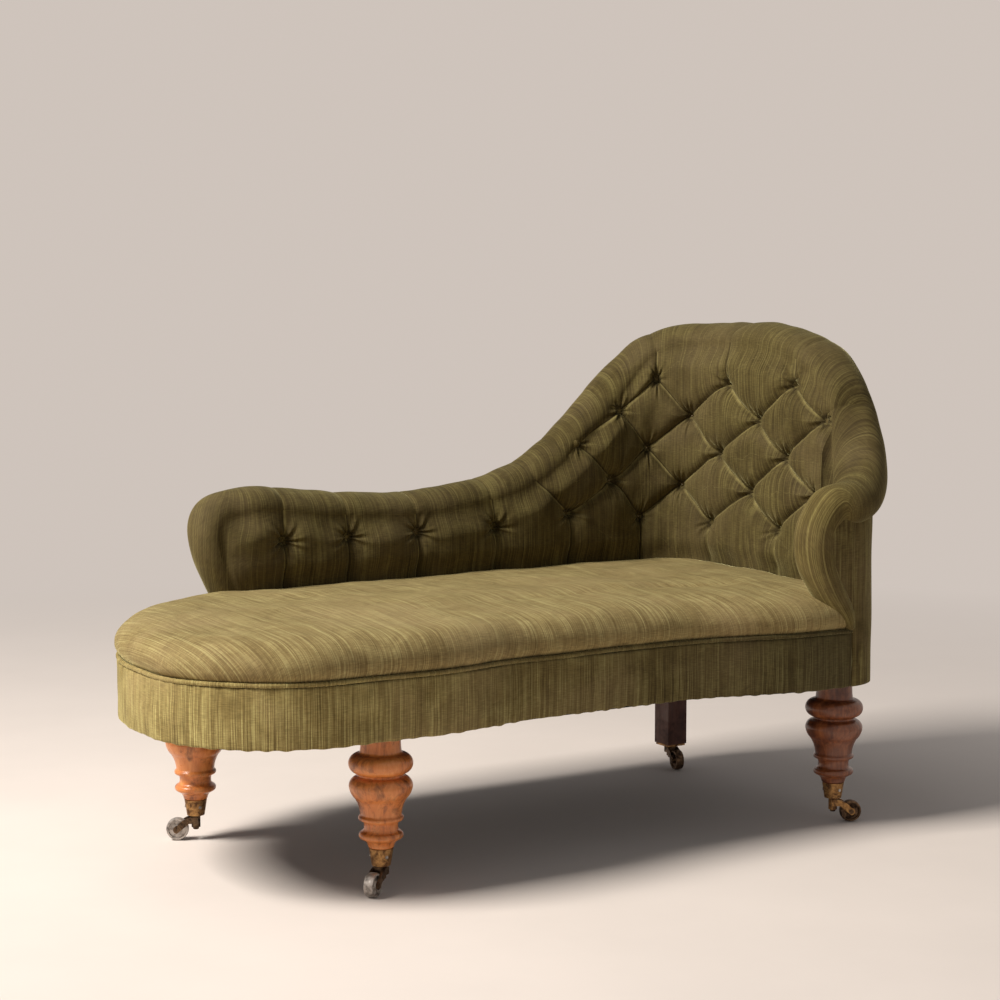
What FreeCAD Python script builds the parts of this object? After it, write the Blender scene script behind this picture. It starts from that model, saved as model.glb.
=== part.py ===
import FreeCAD, Part
import math
import os

# A buttoned chaise longue on turned legs with casters.
# X runs along the length, from the rounded foot end to the raised head end.
# Y runs across the depth, from the open front to the long back, and Z is up.
# The origin is on the floor, under the middle of the whole.

# Floor plan, all of it given to the outer face of the cover
foot_x = -666.0
rear_y = 327.0
foot_front_y = -307.0
foot_front_radius = 225.0
foot_rear_radius = 365.0
swell_foot_x = -239.0
swell_foot_y = -309.0
waist_start_x = -119.0
waist_start_y = -281.0
waist_end_x = 236.0
waist_end_y = -277.0
swell_head_x = 411.0
swell_radius = 400.0
front_y = -327.0

# Back, measured on the line that the rolled edge follows
back_start_x = -363.0
head_rear_x = 636.5
head_front_x = 601.5
head_corner_radius = 178.0
arm_corner_radius = 80.0
arm_end_x = 525.0
cover_offset = 14.0
roll_radius = 38.0
back_body_start = 20.0
back_end_reach = 62.0

# Heights above the floor
hem_z = 248.0
rail_bottom_z = 252.0
rail_top_z = 336.0
welt_z = 345.0
seat_crown_z = 415.0
seat_edge_z = 425.0
low_back_z = 562.0
crown_z = 868.0
arm_z = 600.0

# Cloth, stuffing and webbing
cover_thickness = 3.0
hessian_thickness = 1.2
seat_hessian_thickness = 1.5
dust_cloth_thickness = 1.0
webbing_width = 50.0
webbing_thickness = 1.5
welt_radius = 3.5
tuck_gap = 1.5
seat_gap = 1.5
hessian_gap = 4.0
base_depth = 62.0
pinch_depth = 47.0
puff_rise = 27.0
crease_rise = 5.0
pad_back_offset = -8.0
roll_tuck_offset = 16.0
roll_tuck_drop = 34.4

# Buttoning
row_first_z = 495.0
row_pitch = 66.0
row_count = 5
low_row_z = 491.0
low_button_count = 4
low_button_places = (98.0, 224.0, 367.0, 531.0)
head_places = (717.0, 806.0, 897.0, 1004.0, 1129.0, 1243.0, 1335.0, 1436.0, 1530.0)
head_middle_column = 12.0
row_lean = 0.115
row_sag = 5.0
row_lift = 1.1
section_step = 30.0
sheet_margin = 6.0
button_radius = 8.0
button_edge = 3.0
button_dome = 2.5
button_clearance = 0.3
twine_radius = 1.0
row_margin = 36.0

# Seat frame
rail_width = 30.0
cross_rail_x = 100.0
cross_rail_width = 40.0
cross_rail_height = 42.0
foot_joint_x = -290.0
head_joint_x = 470.0
block_size = 92.0
block_height = 46.0
dowel_radius = 11.0
dowel_height = 44.0
dowel_clearance = 0.05

# Iron back
rod_radius = 5.0
rod_drop = 48.0
rod_end_inset = 8.0
bar_width = 14.0
bar_thickness = 5.0
bar_foot_length = 36.0
bar_foot_thickness = 3.0
bar_foot_inner = -5.9
bar_foot_outer = 8.0
lath_height = 16.0
lath_thickness = 3.0
lath_gap = 0.8
lath_z = 400.0
foot_screw_radius = 2.0
foot_screw_head_radius = 3.6
foot_screw_head_height = 2.0
foot_screw_depth = 20.0
foot_screw_spread = 12.5
foot_screw_offset = 2.0

# Springs
spring_radius = 35.0
spring_waist_radius = 24.0
spring_step_x = 150.0
spring_first_x = -500.0
spring_columns = 8
spring_rows_y = (-140.0, 5.0, 150.0)
spring_leg_clearance = 62.0
spring_rail_clearance = 6.0

# Legs and casters
leg_foot_front = (-353.5, -247.0)
leg_foot_rear = (-460.5, 205.0)
leg_head_front = (535.5, -271.0)
leg_head_rear = (564.0, 241.0)
square_leg_width = 44.0
leg_neck_radius = 32.0
socket_bottom_z = 43.0
socket_floor = 4.0
socket_top_z = 70.0
socket_bottom_radius = 14.7
socket_top_radius = 19.0
socket_wall = 1.6
socket_screw_z = 58.0
socket_screw_radius = 1.4
socket_screw_head_radius = 2.6
socket_screw_head_height = 1.0
socket_screw_depth = 8.0
plate_width = 40.0
plate_screw_spread = 14.5
plate_screw_depth = 16.0
wheel_radius = 19.0
wheel_width = 15.0
wheel_rim = 4.0
wheel_hub_radius = 6.5
wheel_recess = 3.0
caster_trail = 31.0
axle_radius = 2.5
axle_clearance = 0.05
axle_head_radius = 4.2
axle_head_height = 1.2
cheek_gap = 0.8
cheek_thickness = 3.0
cheek_hub_radius = 6.5
boss_radius = 7.5
boss_bottom_z = 22.0
boss_top_z = 42.0
web_bottom_z = 29.0
web_top_z = 40.0
web_reach = 9.0
pin_radius = 4.0
pin_clearance = 0.05
pin_head_radius = 6.3
pin_head_height = 2.6
pin_end_radius = 5.0
pin_end_drop = 4.0
pin_recess_radius = 7.0
pin_recess_height = 5.0

# Direction in which each caster trails, in degrees from +X
trail_foot_front = 216.0
trail_foot_rear = 150.0
trail_head_front = -28.0
trail_head_rear = 257.0

BIG = 3000.0


def vec(x, y, z=0.0):
    return FreeCAD.Vector(x, y, z)


def box(x0, x1, y0, y1, z0, z1):
    return Part.makeBox(x1 - x0, y1 - y0, z1 - z0, vec(x0, y0, z0))


def cylinder(radius, x, y, z0, z1):
    return Part.makeCylinder(radius, z1 - z0, vec(x, y, z0))


def group(solids):
    return Part.Compound(solids)


def save(name, shape):
    shape.exportStep("parts/" + name + ".step")
    solids = len(shape.Solids)
    print(name, solids, round(shape.Volume / 1000.0, 2), "cm3", shape.isValid())


# Plan outlines: polygons whose corners are rounded by arcs


def side_directions(corners, closed):
    count = len(corners) if closed else len(corners) - 1
    directions = []
    for i in range(count):
        here = corners[i]
        there = corners[(i + 1) % len(corners)]
        side = vec(there[0] - here[0], there[1] - here[1])
        directions.append(side.normalize())
    return directions


def left_of(direction):
    return vec(-direction.y, direction.x)


def moved_corners(corners, offset, closed):
    """Corners of the same outline with every side moved to its left by offset."""
    sides = side_directions(corners, closed)
    moved = []
    for i, (x, y, radius) in enumerate(corners):
        ends = not closed and i in (0, len(corners) - 1)
        before = sides[0] if not closed and i == 0 else sides[i - 1]
        after = sides[-1] if not closed and i == len(corners) - 1 else sides[i]
        n0 = left_of(before)
        n1 = left_of(after)
        if ends:
            n0 = n1 if i == 0 else n0
            shift = n0 * offset
            moved.append((x + shift.x, y + shift.y, 0.0))
            continue
        shift = (n0 + n1) * (offset / (1.0 + n0.dot(n1)))
        turns_left = before.cross(after).z > 0.0
        new_radius = radius - offset if turns_left else radius + offset
        moved.append((x + shift.x, y + shift.y, max(new_radius, 0.5)))
    return moved


def plan_edges(corners, z, offset=0.0, closed=True):
    """Lines and arcs of a rounded outline at height z."""
    points = moved_corners(corners, offset, closed)
    sides = side_directions(points, closed)
    edges = []
    first = None
    last = None
    for i, (x, y, radius) in enumerate(points):
        here = vec(x, y, z)
        if not closed and i in (0, len(points) - 1):
            enter = here
            leave = here
            middle = None
        else:
            before = sides[i - 1]
            after = sides[i]
            turn = math.atan2(before.cross(after).z, before.dot(after))
            reach = abs(radius * math.tan(turn / 2.0))
            enter = here - before * reach
            leave = here + after * reach
            inward = left_of(before) * math.copysign(1.0, turn)
            centre = enter + inward * radius
            bulge = (here - centre).normalize()
            middle = centre + bulge * radius
        if last is not None:
            edges.append(Part.LineSegment(last, enter).toShape())
        if middle is not None:
            edges.append(Part.Arc(enter, middle, leave).toShape())
        first = enter if first is None else first
        last = leave
    if closed:
        edges.append(Part.LineSegment(last, first).toShape())
    return edges


def prism(corners, z0, z1, offset=0.0):
    wire = Part.Wire(plan_edges(corners, z0, offset))
    return Part.Face(wire).extrude(vec(0, 0, z1 - z0))


def ring(corners, inner, outer, z0, z1):
    """Wall between two insets of a closed outline."""
    return prism(corners, z0, z1, outer).cut(prism(corners, z0, z1, inner))


front_line = [
    (foot_x, foot_front_y, foot_front_radius),
    (swell_foot_x, swell_foot_y, swell_radius),
    (waist_start_x, waist_start_y, swell_radius),
    (waist_end_x, waist_end_y, swell_radius),
    (swell_head_x, front_y, swell_radius),
]
# The seat's own crown runs on under the back, and is cut off there.
hidden_reach = 110.0
hidden_radius = 230.0
crown_rim = [(foot_x, rear_y, foot_rear_radius)] + front_line + [
    (head_rear_x + cover_offset + hidden_reach, front_y, hidden_radius),
    (head_rear_x + cover_offset + hidden_reach, rear_y, hidden_radius),
]

back_y = rear_y - cover_offset
arm_y = front_y + cover_offset
back_line = [
    (back_start_x, back_y, 0.0),
    (head_rear_x, back_y, head_corner_radius),
    (head_front_x, arm_y, arm_corner_radius),
    (arm_end_x, arm_y, 0.0),
]
cover_line = moved_corners(back_line, cover_offset, False)
rim = [(foot_x, rear_y, foot_rear_radius)] + front_line + [cover_line[2], cover_line[1]]


class BackPath:
    """Arc length along the back's plan line; offsets are positive outwards."""

    def __init__(self, corners):
        self.pieces = []
        self.marks = [0.0]
        sides = side_directions(corners, False)
        last = vec(corners[0][0], corners[0][1])
        for i in range(1, len(corners) - 1):
            here = vec(corners[i][0], corners[i][1])
            radius = corners[i][2]
            before = sides[i - 1]
            after = sides[i]
            turn = math.atan2(before.cross(after).z, before.dot(after))
            reach = abs(radius * math.tan(turn / 2.0))
            enter = here - before * reach
            self.add(last, before, 0.0, 0.0, (enter - last).Length)
            self.add(enter, before, radius, turn, abs(radius * turn))
            last = here + after * reach
        end = vec(corners[-1][0], corners[-1][1])
        rest = (end - last).dot(sides[-1])
        self.add(last, sides[-1], 0.0, 0.0, max(rest, 0.01))

    def add(self, start, direction, radius, turn, length):
        self.pieces.append((start, direction, radius, turn))
        self.marks.append(self.marks[-1] + length)

    def frame(self, s):
        """Point on the line and the outward normal at arc length s."""
        index = 0
        while index < len(self.pieces) - 1 and s > self.marks[index + 1]:
            index += 1
        start, direction, radius, turn = self.pieces[index]
        run = s - self.marks[index]
        if radius == 0.0:
            return start + direction * run, left_of(direction)
        side = math.copysign(1.0, turn)
        angle = side * run / radius
        centre = start + left_of(direction) * (side * radius)
        spoke = start - centre
        turned = FreeCAD.Rotation(vec(0, 0, 1), math.degrees(angle))
        heading = turned.multVec(direction)
        return centre + turned.multVec(spoke), left_of(heading)

    def point(self, s, n, z):
        base, normal = self.frame(s)
        place = base + normal * n
        return vec(place.x, place.y, z)


path = BackPath(back_line)
straight_end = path.marks[1]
corner_end = path.marks[2]
side_end = path.marks[3]
path_end = path.marks[5]

# Height of the rolled edge: places along the back, as shares of its stretches
crown_knots = [
    (0.0, low_back_z + 14.0),
    (0.065 * straight_end, low_back_z + 24.0),
    (0.25 * straight_end, low_back_z + 8.0),
    (0.44 * straight_end, low_back_z),
    (0.63 * straight_end, low_back_z + 16.0),
    (0.75 * straight_end, low_back_z + 44.0),
    (0.875 * straight_end, low_back_z + 114.0),
    (straight_end, low_back_z + 210.0),
    (straight_end + 0.29 * (corner_end - straight_end), crown_z - 28.0),
    (straight_end + 0.62 * (corner_end - straight_end), crown_z - 4.0),
    (corner_end + 0.29 * (side_end - corner_end), crown_z),
    (corner_end + 0.66 * (side_end - corner_end), crown_z - 19.0),
    (corner_end + 0.85 * (side_end - corner_end), crown_z - 46.0),
    (side_end, crown_z - 96.0),
    (side_end + 0.42 * (path_end - side_end), arm_z + 74.0),
    (side_end + 0.70 * (path_end - side_end), arm_z + 25.0),
    (path_end, arm_z),
]


def crown_height(s):
    """Smooth height through the knots, level where they peak or dip."""
    last = len(crown_knots) - 2
    index = 0
    while index < last and s > crown_knots[index + 1][0]:
        index += 1

    def slope(i):
        if i <= 0 or i >= len(crown_knots) - 1:
            return 0.0
        x0, y0 = crown_knots[i - 1]
        x1, y1 = crown_knots[i]
        x2, y2 = crown_knots[i + 1]
        a = (y1 - y0) / (x1 - x0)
        b = (y2 - y1) / (x2 - x1)
        return 2.0 * a * b / (a + b) if a * b > 0.0 else 0.0

    x0, y0 = crown_knots[index]
    x1, y1 = crown_knots[index + 1]
    width = x1 - x0
    t = min(max((s - x0) / width, 0.0), 1.0)
    rise = (3.0 - 2.0 * t) * t * t
    ease_out = t * (1.0 - t) ** 2 * width * slope(index)
    ease_in = t * t * (t - 1.0) * width * slope(index + 1)
    return y0 + (y1 - y0) * rise + ease_out + ease_in


# Buttoning: column numbers along the back and row numbers up it.
# A button sits where the two numbers add up to an odd one.


def column_knots():
    knots = []
    for i, s in enumerate(low_button_places):
        knots.append((2.0 * i, s))
    for i, s in enumerate(head_places):
        knots.append((2.0 * low_button_count + i, s))
    first_gap = knots[1][1] - knots[0][1]
    return [(-2.0, knots[0][1] - first_gap)] + knots


columns = column_knots()
head_column = 2.0 * low_button_count
last_column = columns[-1][0]


def between(knots, value, known, wanted):
    """Straight-line reading of one column of a table against the other."""
    index = 0
    while index < len(knots) - 2 and value > knots[index + 1][known]:
        index += 1
    low = knots[index]
    high = knots[index + 1]
    share = (value - low[known]) / (high[known] - low[known])
    return low[wanted] + share * (high[wanted] - low[wanted])


def head_share(c):
    """0 along the low back, and 1 where the diamonds begin."""
    return min(max(0.5 * (c - head_column + 2.0), 0.0), 1.0)


def place_of_button(c, row):
    """Arc length and height of the button in column c and row."""
    lean = row_lean * (row - 3.0) * head_share(c)
    off_middle = c - head_middle_column
    head_z = row_first_z + (row - 1.0) * row_pitch - row_sag + row_lift * off_middle ** 2
    share = head_share(c)
    return between(columns, c + lean, 0, 1), low_row_z + share * (head_z - low_row_z)


def lattice_of(s, z):
    """Column and row numbers of a point on the back."""
    c = between(columns, s, 1, 0)
    share = head_share(c)
    off_middle = c - head_middle_column
    first_z = low_row_z + share * (row_first_z - row_sag + row_lift * off_middle ** 2 - low_row_z)
    row = 1.0 + (z - first_z) / row_pitch
    return c - row_lean * (row - 3.0) * share, row


def to_odd(value):
    """Distance from value to the nearest odd whole number."""
    return abs((value % 2.0) - 1.0)


def swell(distance):
    return math.sin(math.pi / 2.0 * min(distance, 1.0))


def tuft(c, row):
    """Height of the stuffing over the pinched cloth, from 0 at a button to 1."""
    upright = swell(to_odd(c + 1.0))
    rising = swell(to_odd(c + row))
    falling = swell(to_odd(c - row))
    diamond = rising * falling
    share = min(max(row, 0.0), 1.0) * min(max(c - head_column + 1.0, 0.0), 1.0)
    crease = max(to_odd(c + row), to_odd(c - row)) * crease_rise / puff_rise
    return (1.0 - share) * upright + share * (diamond + crease * (1.0 - diamond))


def inner_offset(s, z, height):
    """Offset of the inner face at height z, for a share of the puffs' height."""
    centre_z = crown_height(s) - roll_radius
    fade = min(max((centre_z - z) / row_pitch, 0.0), 1.0)
    return -roll_radius - fade * (pinch_depth - roll_radius + puff_rise * height)


def inner_points(s):
    """Points (offset, height) up the inner face, every half row."""
    centre_z = crown_height(s) - roll_radius
    steps = 2 * row_count + 1
    points = []
    for j in range(steps):
        level = row_first_z - row_sag + 0.5 * (j - 1) * row_pitch
        top = centre_z - 4.0 - 3.0 * (steps - 1 - j)
        z = min(level, top)
        c, row = lattice_of(s, z)
        points.append((inner_offset(s, z, tuft(c, row)), z))
    return points


def arc_between(a, b, bulge):
    middle = vec((a.x + b.x) / 2.0, (a.y + b.y) / 2.0, (a.z + b.z) / 2.0) + bulge
    return Part.Arc(a, middle, b).toShape()


def back_section(s, bottom_z):
    """Closed section of the stuffed back: seat line, tufts, roll and back face."""
    base, normal = path.frame(s)
    centre_z = crown_height(s) - roll_radius
    tuck_z = centre_z - roll_tuck_drop
    edges = []
    rows = inner_points(s)
    start = path.point(s, pad_back_offset, bottom_z)
    toe = path.point(s, -base_depth, bottom_z)
    edges.append(Part.LineSegment(start, toe).toShape())
    seat = path.point(s, -base_depth, seat_edge_z)
    edges.append(Part.LineSegment(toe, seat).toShape())
    last = seat
    for n, z in rows:
        here = path.point(s, n, z)
        edges.append(arc_between(last, here, normal * (-0.06 * (here - last).Length)))
        last = here
    inner = path.point(s, -roll_radius, centre_z)
    edges.append(Part.LineSegment(last, inner).toShape())
    top = path.point(s, 0.0, centre_z + roll_radius)
    outer = path.point(s, roll_radius, centre_z)
    tuck = path.point(s, roll_tuck_offset, tuck_z)
    half = roll_radius * math.sqrt(0.5)
    below = math.radians(-34.0)
    low_n = roll_radius * math.cos(below)
    low_z = centre_z + roll_radius * math.sin(below)
    edges.append(Part.Arc(inner, path.point(s, -half, centre_z + half), top).toShape())
    edges.append(Part.Arc(top, path.point(s, half, centre_z + half), outer).toShape())
    edges.append(Part.Arc(outer, path.point(s, low_n, low_z), tuck).toShape())
    heel = path.point(s, pad_back_offset, tuck_z)
    edges.append(Part.LineSegment(tuck, heel).toShape())
    edges.append(Part.LineSegment(heel, start).toShape())
    return Part.Wire(edges)


def steps_between(first, last):
    """Even steps in arc length from first to last."""
    count = int(math.ceil((last - first) / section_step))
    return [first + (last - first) * i / count for i in range(count + 1)]


pad_bottom_z = rail_top_z + seat_hessian_thickness


def back_pad(first, last):
    wires = [back_section(s, pad_bottom_z) for s in steps_between(first, last)]
    return Part.makeLoft(wires, True, True)


def sheet_section(s, n0, n1, z0, z1):
    corners = [path.point(s, n0, z0), path.point(s, n1, z0), path.point(s, n1, z1), path.point(s, n0, z1)]
    return Part.makePolygon(corners + corners[:1])


def back_sheet(first, last, n0, n1, bottom_z, below_crown):
    """Upright sheet along the back, its top edge following the rolled edge."""
    wires = []
    for s in steps_between(first, last):
        wires.append(sheet_section(s, n0 - sheet_margin, n1 + sheet_margin, bottom_z, crown_height(s) - below_crown))
    room = Part.makeLoft(wires, True, True)
    return path_band(n0, n1, bottom_z, crown_z).common(room)


def rod_section(s):
    """Round section of the iron rod, square to its run."""
    here = path.point(s, 0.0, crown_height(s) - roll_radius - rod_drop)
    ahead = path.point(s + 1.0, 0.0, crown_height(s + 1.0) - roll_radius - rod_drop)
    run = (ahead - here).normalize()
    side = path.frame(s)[1]
    up = side.cross(run)
    points = []
    for i in range(8):
        angle = math.pi / 4.0 * i
        points.append(here + side * (rod_radius * math.cos(angle)) + up * (rod_radius * math.sin(angle)))
    edges = []
    for i in range(0, 8, 2):
        edges.append(Part.Arc(points[i], points[i + 1], points[(i + 2) % 8]).toShape())
    return Part.Wire(edges)


def path_band(n0, n1, z0, z1):
    """Upright strip of even height that follows the back's line."""
    start = back_line[0]
    end = back_line[-1]
    inside = plan_edges(back_line, z0, n0, False)
    outside = plan_edges(back_line, z0, n1, False)
    tail = Part.LineSegment(vec(end[0], end[1] - n0, z0), vec(end[0], end[1] - n1, z0)).toShape()
    nose = Part.LineSegment(vec(start[0], start[1] + n1, z0), vec(start[0], start[1] + n0, z0)).toShape()
    loop = Part.Wire(Part.__sortEdges__(inside + [tail] + outside + [nose]))
    return Part.Face(loop).extrude(vec(0, 0, z1 - z0))


# Legs


def revolve_profile(points, x, y):
    """Turned solid from (radius, height) points; three-point arcs are tuples of two."""
    edges = []
    last = vec(points[0][0], 0.0, points[0][1])
    for item in points[1:]:
        if len(item) == 4:
            through = vec(item[0], 0.0, item[1])
            here = vec(item[2], 0.0, item[3])
            edges.append(Part.Arc(last, through, here).toShape())
        else:
            here = vec(item[0], 0.0, item[1])
            edges.append(Part.LineSegment(last, here).toShape())
        last = here
    first = vec(points[0][0], 0.0, points[0][1])
    edges.append(Part.LineSegment(last, first).toShape())
    face = Part.Face(Part.Wire(edges))
    solid = face.revolve(vec(0, 0, 0), vec(0, 0, 1), 360)
    solid.translate(vec(x, y, 0))
    return solid


toe_z = socket_bottom_z + socket_floor
bead_radius = 50.0
bulb_radius = 49.5
toe_radius_low = socket_bottom_radius - socket_wall
toe_radius_high = socket_top_radius - socket_wall
leg_profile = [
    (0.0, toe_z),
    (toe_radius_low, toe_z),
    (toe_radius_high, socket_top_z),
    (20.0, 72.0),
    (21.5, 77.0, 24.0, 81.0),
    (28.0, 83.5, 32.5, 86.0),
    (34.5, 90.5, 31.5, 95.5),
    (27.5, 98.5, 26.5, 103.0),
    (26.8, 109.0, 29.0, 113.5),
    (33.0, 114.0),
    (35.0, 117.5, 33.0, 121.0),
    (31.8, 123.0),
    (34.0, 135.0, 40.0, 148.0),
    (46.5, 157.0, bulb_radius, 168.0),
    (46.0, 177.0, 37.0, 182.5),
    (35.5, 185.0, 37.5, 187.5),
    (bead_radius, 202.5, 37.5, 217.5),
    (33.5, 219.0, leg_neck_radius, 223.0),
    (leg_neck_radius - 1.0, 236.0, leg_neck_radius, rail_bottom_z),
    (dowel_radius, rail_bottom_z),
    (dowel_radius, rail_bottom_z + dowel_height),
    (0.0, rail_bottom_z + dowel_height),
]


def pin_socket(x, y):
    """Room in the foot of a leg for the swivel pin's riveted head."""
    return cylinder(pin_recess_radius, x, y, toe_z, toe_z + pin_recess_height)


def turned_leg(x, y):
    return revolve_profile(leg_profile, x, y).cut(pin_socket(x, y))


def square_leg(x, y):
    half = square_leg_width / 2.0
    post = box(x - half, x + half, y - half, y + half, toe_z, rail_bottom_z)
    dowel = cylinder(dowel_radius, x, y, rail_bottom_z, rail_bottom_z + dowel_height)
    return post.fuse(dowel).removeSplitter().cut(pin_socket(x, y))


def caster_socket(x, y):
    outer = Part.makeCone(socket_bottom_radius, socket_top_radius, socket_top_z - socket_bottom_z,
                          vec(x, y, socket_bottom_z))
    inner = Part.makeCone(toe_radius_low, toe_radius_high, socket_top_z - toe_z, vec(x, y, toe_z))
    bore = cylinder(pin_radius + pin_clearance, x, y, socket_bottom_z, toe_z)
    return outer.cut(inner).cut(bore)


def caster_plate(x, y):
    half = plate_width / 2.0
    plate = box(x - half, x + half, y - half, y + half, socket_bottom_z, toe_z)
    return plate.cut(cylinder(pin_radius + pin_clearance, x, y, socket_bottom_z, toe_z))


def socket_screw_tools(x, y):
    """Shank and head cylinders of the three screws round a socket."""
    share = (socket_screw_z - socket_bottom_z) / (socket_top_z - socket_bottom_z)
    face = socket_bottom_radius + share * (socket_top_radius - socket_bottom_radius)
    shanks = []
    heads = []
    for i in range(3):
        angle = math.radians(30.0 + 120.0 * i)
        out = vec(math.cos(angle), math.sin(angle), 0.0)
        centre = vec(x, y, socket_screw_z)
        shanks.append(Part.makeCylinder(socket_screw_radius, socket_screw_depth,
                                        centre + out * (face - socket_screw_depth), out))
        heads.append(Part.makeCylinder(socket_screw_head_radius, socket_screw_head_height + 0.8,
                                       centre + out * (face - 0.8), out))
    return shanks, heads


def plate_screw_tools(x, y):
    shanks = []
    heads = []
    for dx in (-plate_screw_spread, plate_screw_spread):
        for dy in (-plate_screw_spread, plate_screw_spread):
            shanks.append(cylinder(socket_screw_radius, x + dx, y + dy,
                                   socket_bottom_z, socket_bottom_z + plate_screw_depth))
            heads.append(cylinder(socket_screw_head_radius, x + dx, y + dy,
                                  socket_bottom_z - socket_screw_head_height, socket_bottom_z))
    return shanks, heads


# Casters, drawn trailing along +X and then turned to their heading


def turned_to(shape, heading, x, y):
    placed = shape.copy()
    placed.rotate(vec(0, 0, 0), vec(0, 0, 1), heading)
    placed.translate(vec(x, y, 0))
    return placed


def caster_fork():
    inner = wheel_width / 2.0 + cheek_gap
    outer = inner + cheek_thickness
    boss = cylinder(boss_radius, 0, 0, boss_bottom_z, boss_top_z)
    web = box(-boss_radius * 0.6, web_reach, -outer, outer, web_bottom_z, web_top_z)
    fork = boss.fuse(web)
    for y0 in (-outer, inner):
        top_z = web_top_z
        hub = vec(caster_trail, y0, wheel_radius)
        start = vec(-boss_radius * 0.6, y0, top_z)
        crest = vec(caster_trail * 0.45, y0, top_z - 2.0)
        over = vec(caster_trail, y0, wheel_radius + cheek_hub_radius)
        end = vec(caster_trail + cheek_hub_radius, y0, wheel_radius)
        under = vec(caster_trail, y0, wheel_radius - cheek_hub_radius)
        knee = vec(web_reach + 2.0, y0, web_bottom_z)
        heel = vec(-boss_radius * 0.6, y0, web_bottom_z)
        edges = [
            Part.Arc(start, crest, over).toShape(),
            Part.Arc(over, hub + vec(cheek_hub_radius * 0.7071, 0, cheek_hub_radius * 0.7071), end).toShape(),
            Part.Arc(end, hub + vec(cheek_hub_radius * 0.7071, 0, -cheek_hub_radius * 0.7071), under).toShape(),
            Part.LineSegment(under, knee).toShape(),
            Part.LineSegment(knee, heel).toShape(),
            Part.LineSegment(heel, start).toShape(),
        ]
        cheek = Part.Face(Part.Wire(edges)).extrude(vec(0, cheek_thickness, 0))
        fork = fork.fuse(cheek)
    axle_hole = Part.makeCylinder(axle_radius, 4.0 * outer, vec(caster_trail, -2.0 * outer, wheel_radius), vec(0, 1, 0))
    pin_hole = cylinder(pin_radius, 0, 0, boss_bottom_z, boss_top_z)
    return fork.removeSplitter().cut(axle_hole).cut(pin_hole)


def caster_pin():
    head_z = toe_z + 0.3
    shank = cylinder(pin_radius, 0, 0, boss_bottom_z, head_z)
    head = cylinder(pin_head_radius, 0, 0, head_z, head_z + pin_head_height)
    end = cylinder(pin_end_radius, 0, 0, boss_bottom_z - pin_end_drop, boss_bottom_z)
    end = end.makeFillet(1.5, [e for e in end.Edges if e.BoundBox.ZMax < boss_bottom_z - 1.0])
    return shank.fuse(head).fuse(end).removeSplitter()


def caster_axle():
    outer = wheel_width / 2.0 + cheek_gap + cheek_thickness
    along = vec(0, 1, 0)
    centre = vec(caster_trail, 0, wheel_radius)
    axle = Part.makeCylinder(axle_radius, 2.0 * outer, centre - along * outer, along)
    for place in (outer, -outer - axle_head_height):
        axle = axle.fuse(Part.makeCylinder(axle_head_radius, axle_head_height, centre + along * place, along))
    return axle.removeSplitter()


def caster_wheel():
    """Wheel with a crowned tread, raised rims and a hub, turned about its axle."""
    half = wheel_width / 2.0
    bore = axle_radius + axle_clearance
    rim_inner = wheel_radius - wheel_rim
    web = half - wheel_recess
    shoulder = wheel_radius - 1.2
    points = [
        vec(bore, 0, -half),
        vec(wheel_hub_radius, 0, -half),
        vec(wheel_hub_radius + 1.0, 0, -web),
        vec(rim_inner - 1.0, 0, -web),
        vec(rim_inner, 0, -half),
        vec(shoulder, 0, -half),
    ]
    mirrored = [vec(p.x, 0, -p.z) for p in reversed(points)]
    edges = []
    for a, b in zip(points, points[1:]):
        edges.append(Part.LineSegment(a, b).toShape())
    edges.append(Part.Arc(points[-1], vec(wheel_radius, 0, 0), mirrored[0]).toShape())
    for a, b in zip(mirrored, mirrored[1:] + points[:1]):
        edges.append(Part.LineSegment(a, b).toShape())
    wheel = Part.Face(Part.Wire(edges)).revolve(vec(0, 0, 0), vec(0, 0, 1), 360)
    wheel.rotate(vec(0, 0, 0), vec(1, 0, 0), 90)
    wheel.translate(vec(caster_trail, 0, wheel_radius))
    return wheel


# Build


os.makedirs("parts", exist_ok=True)

legs = {
    "foot_front": (leg_foot_front, trail_foot_front),
    "foot_rear": (leg_foot_rear, trail_foot_rear),
    "head_front": (leg_head_front, trail_head_front),
    "head_rear": (leg_head_rear, trail_head_rear),
}

fixing_screws = []
for name, ((x, y), heading) in legs.items():
    if name == "head_rear":
        leg = square_leg(x, y)
        holder = caster_plate(x, y)
        holder_name = "caster_plate_"
        shanks, heads = plate_screw_tools(x, y)
    else:
        leg = turned_leg(x, y)
        holder = caster_socket(x, y)
        holder_name = "caster_socket_"
        shanks, heads = socket_screw_tools(x, y)
    for shank, head in zip(shanks, heads):
        cap = head.cut(holder).Solids[0]
        leg = leg.cut(shank)
        holder = holder.cut(shank)
        fixing_screws.append(shank.fuse(cap).removeSplitter())
    save("leg_" + name, leg)
    save(holder_name + name, holder)
    save("caster_fork_" + name, turned_to(caster_fork(), heading, x, y))
    save("caster_pin_" + name, turned_to(caster_pin(), heading, x, y))
    save("caster_axle_" + name, turned_to(caster_axle(), heading, x, y))
    save("caster_wheel_" + name, turned_to(caster_wheel(), heading, x, y))
save("caster_screws", group(fixing_screws))

# Seat frame
dowel_holes = []
for (x, y), heading in legs.values():
    top = rail_bottom_z + dowel_height + 1.0
    dowel_holes.append(cylinder(dowel_radius + dowel_clearance, x, y, rail_bottom_z, top))

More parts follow.
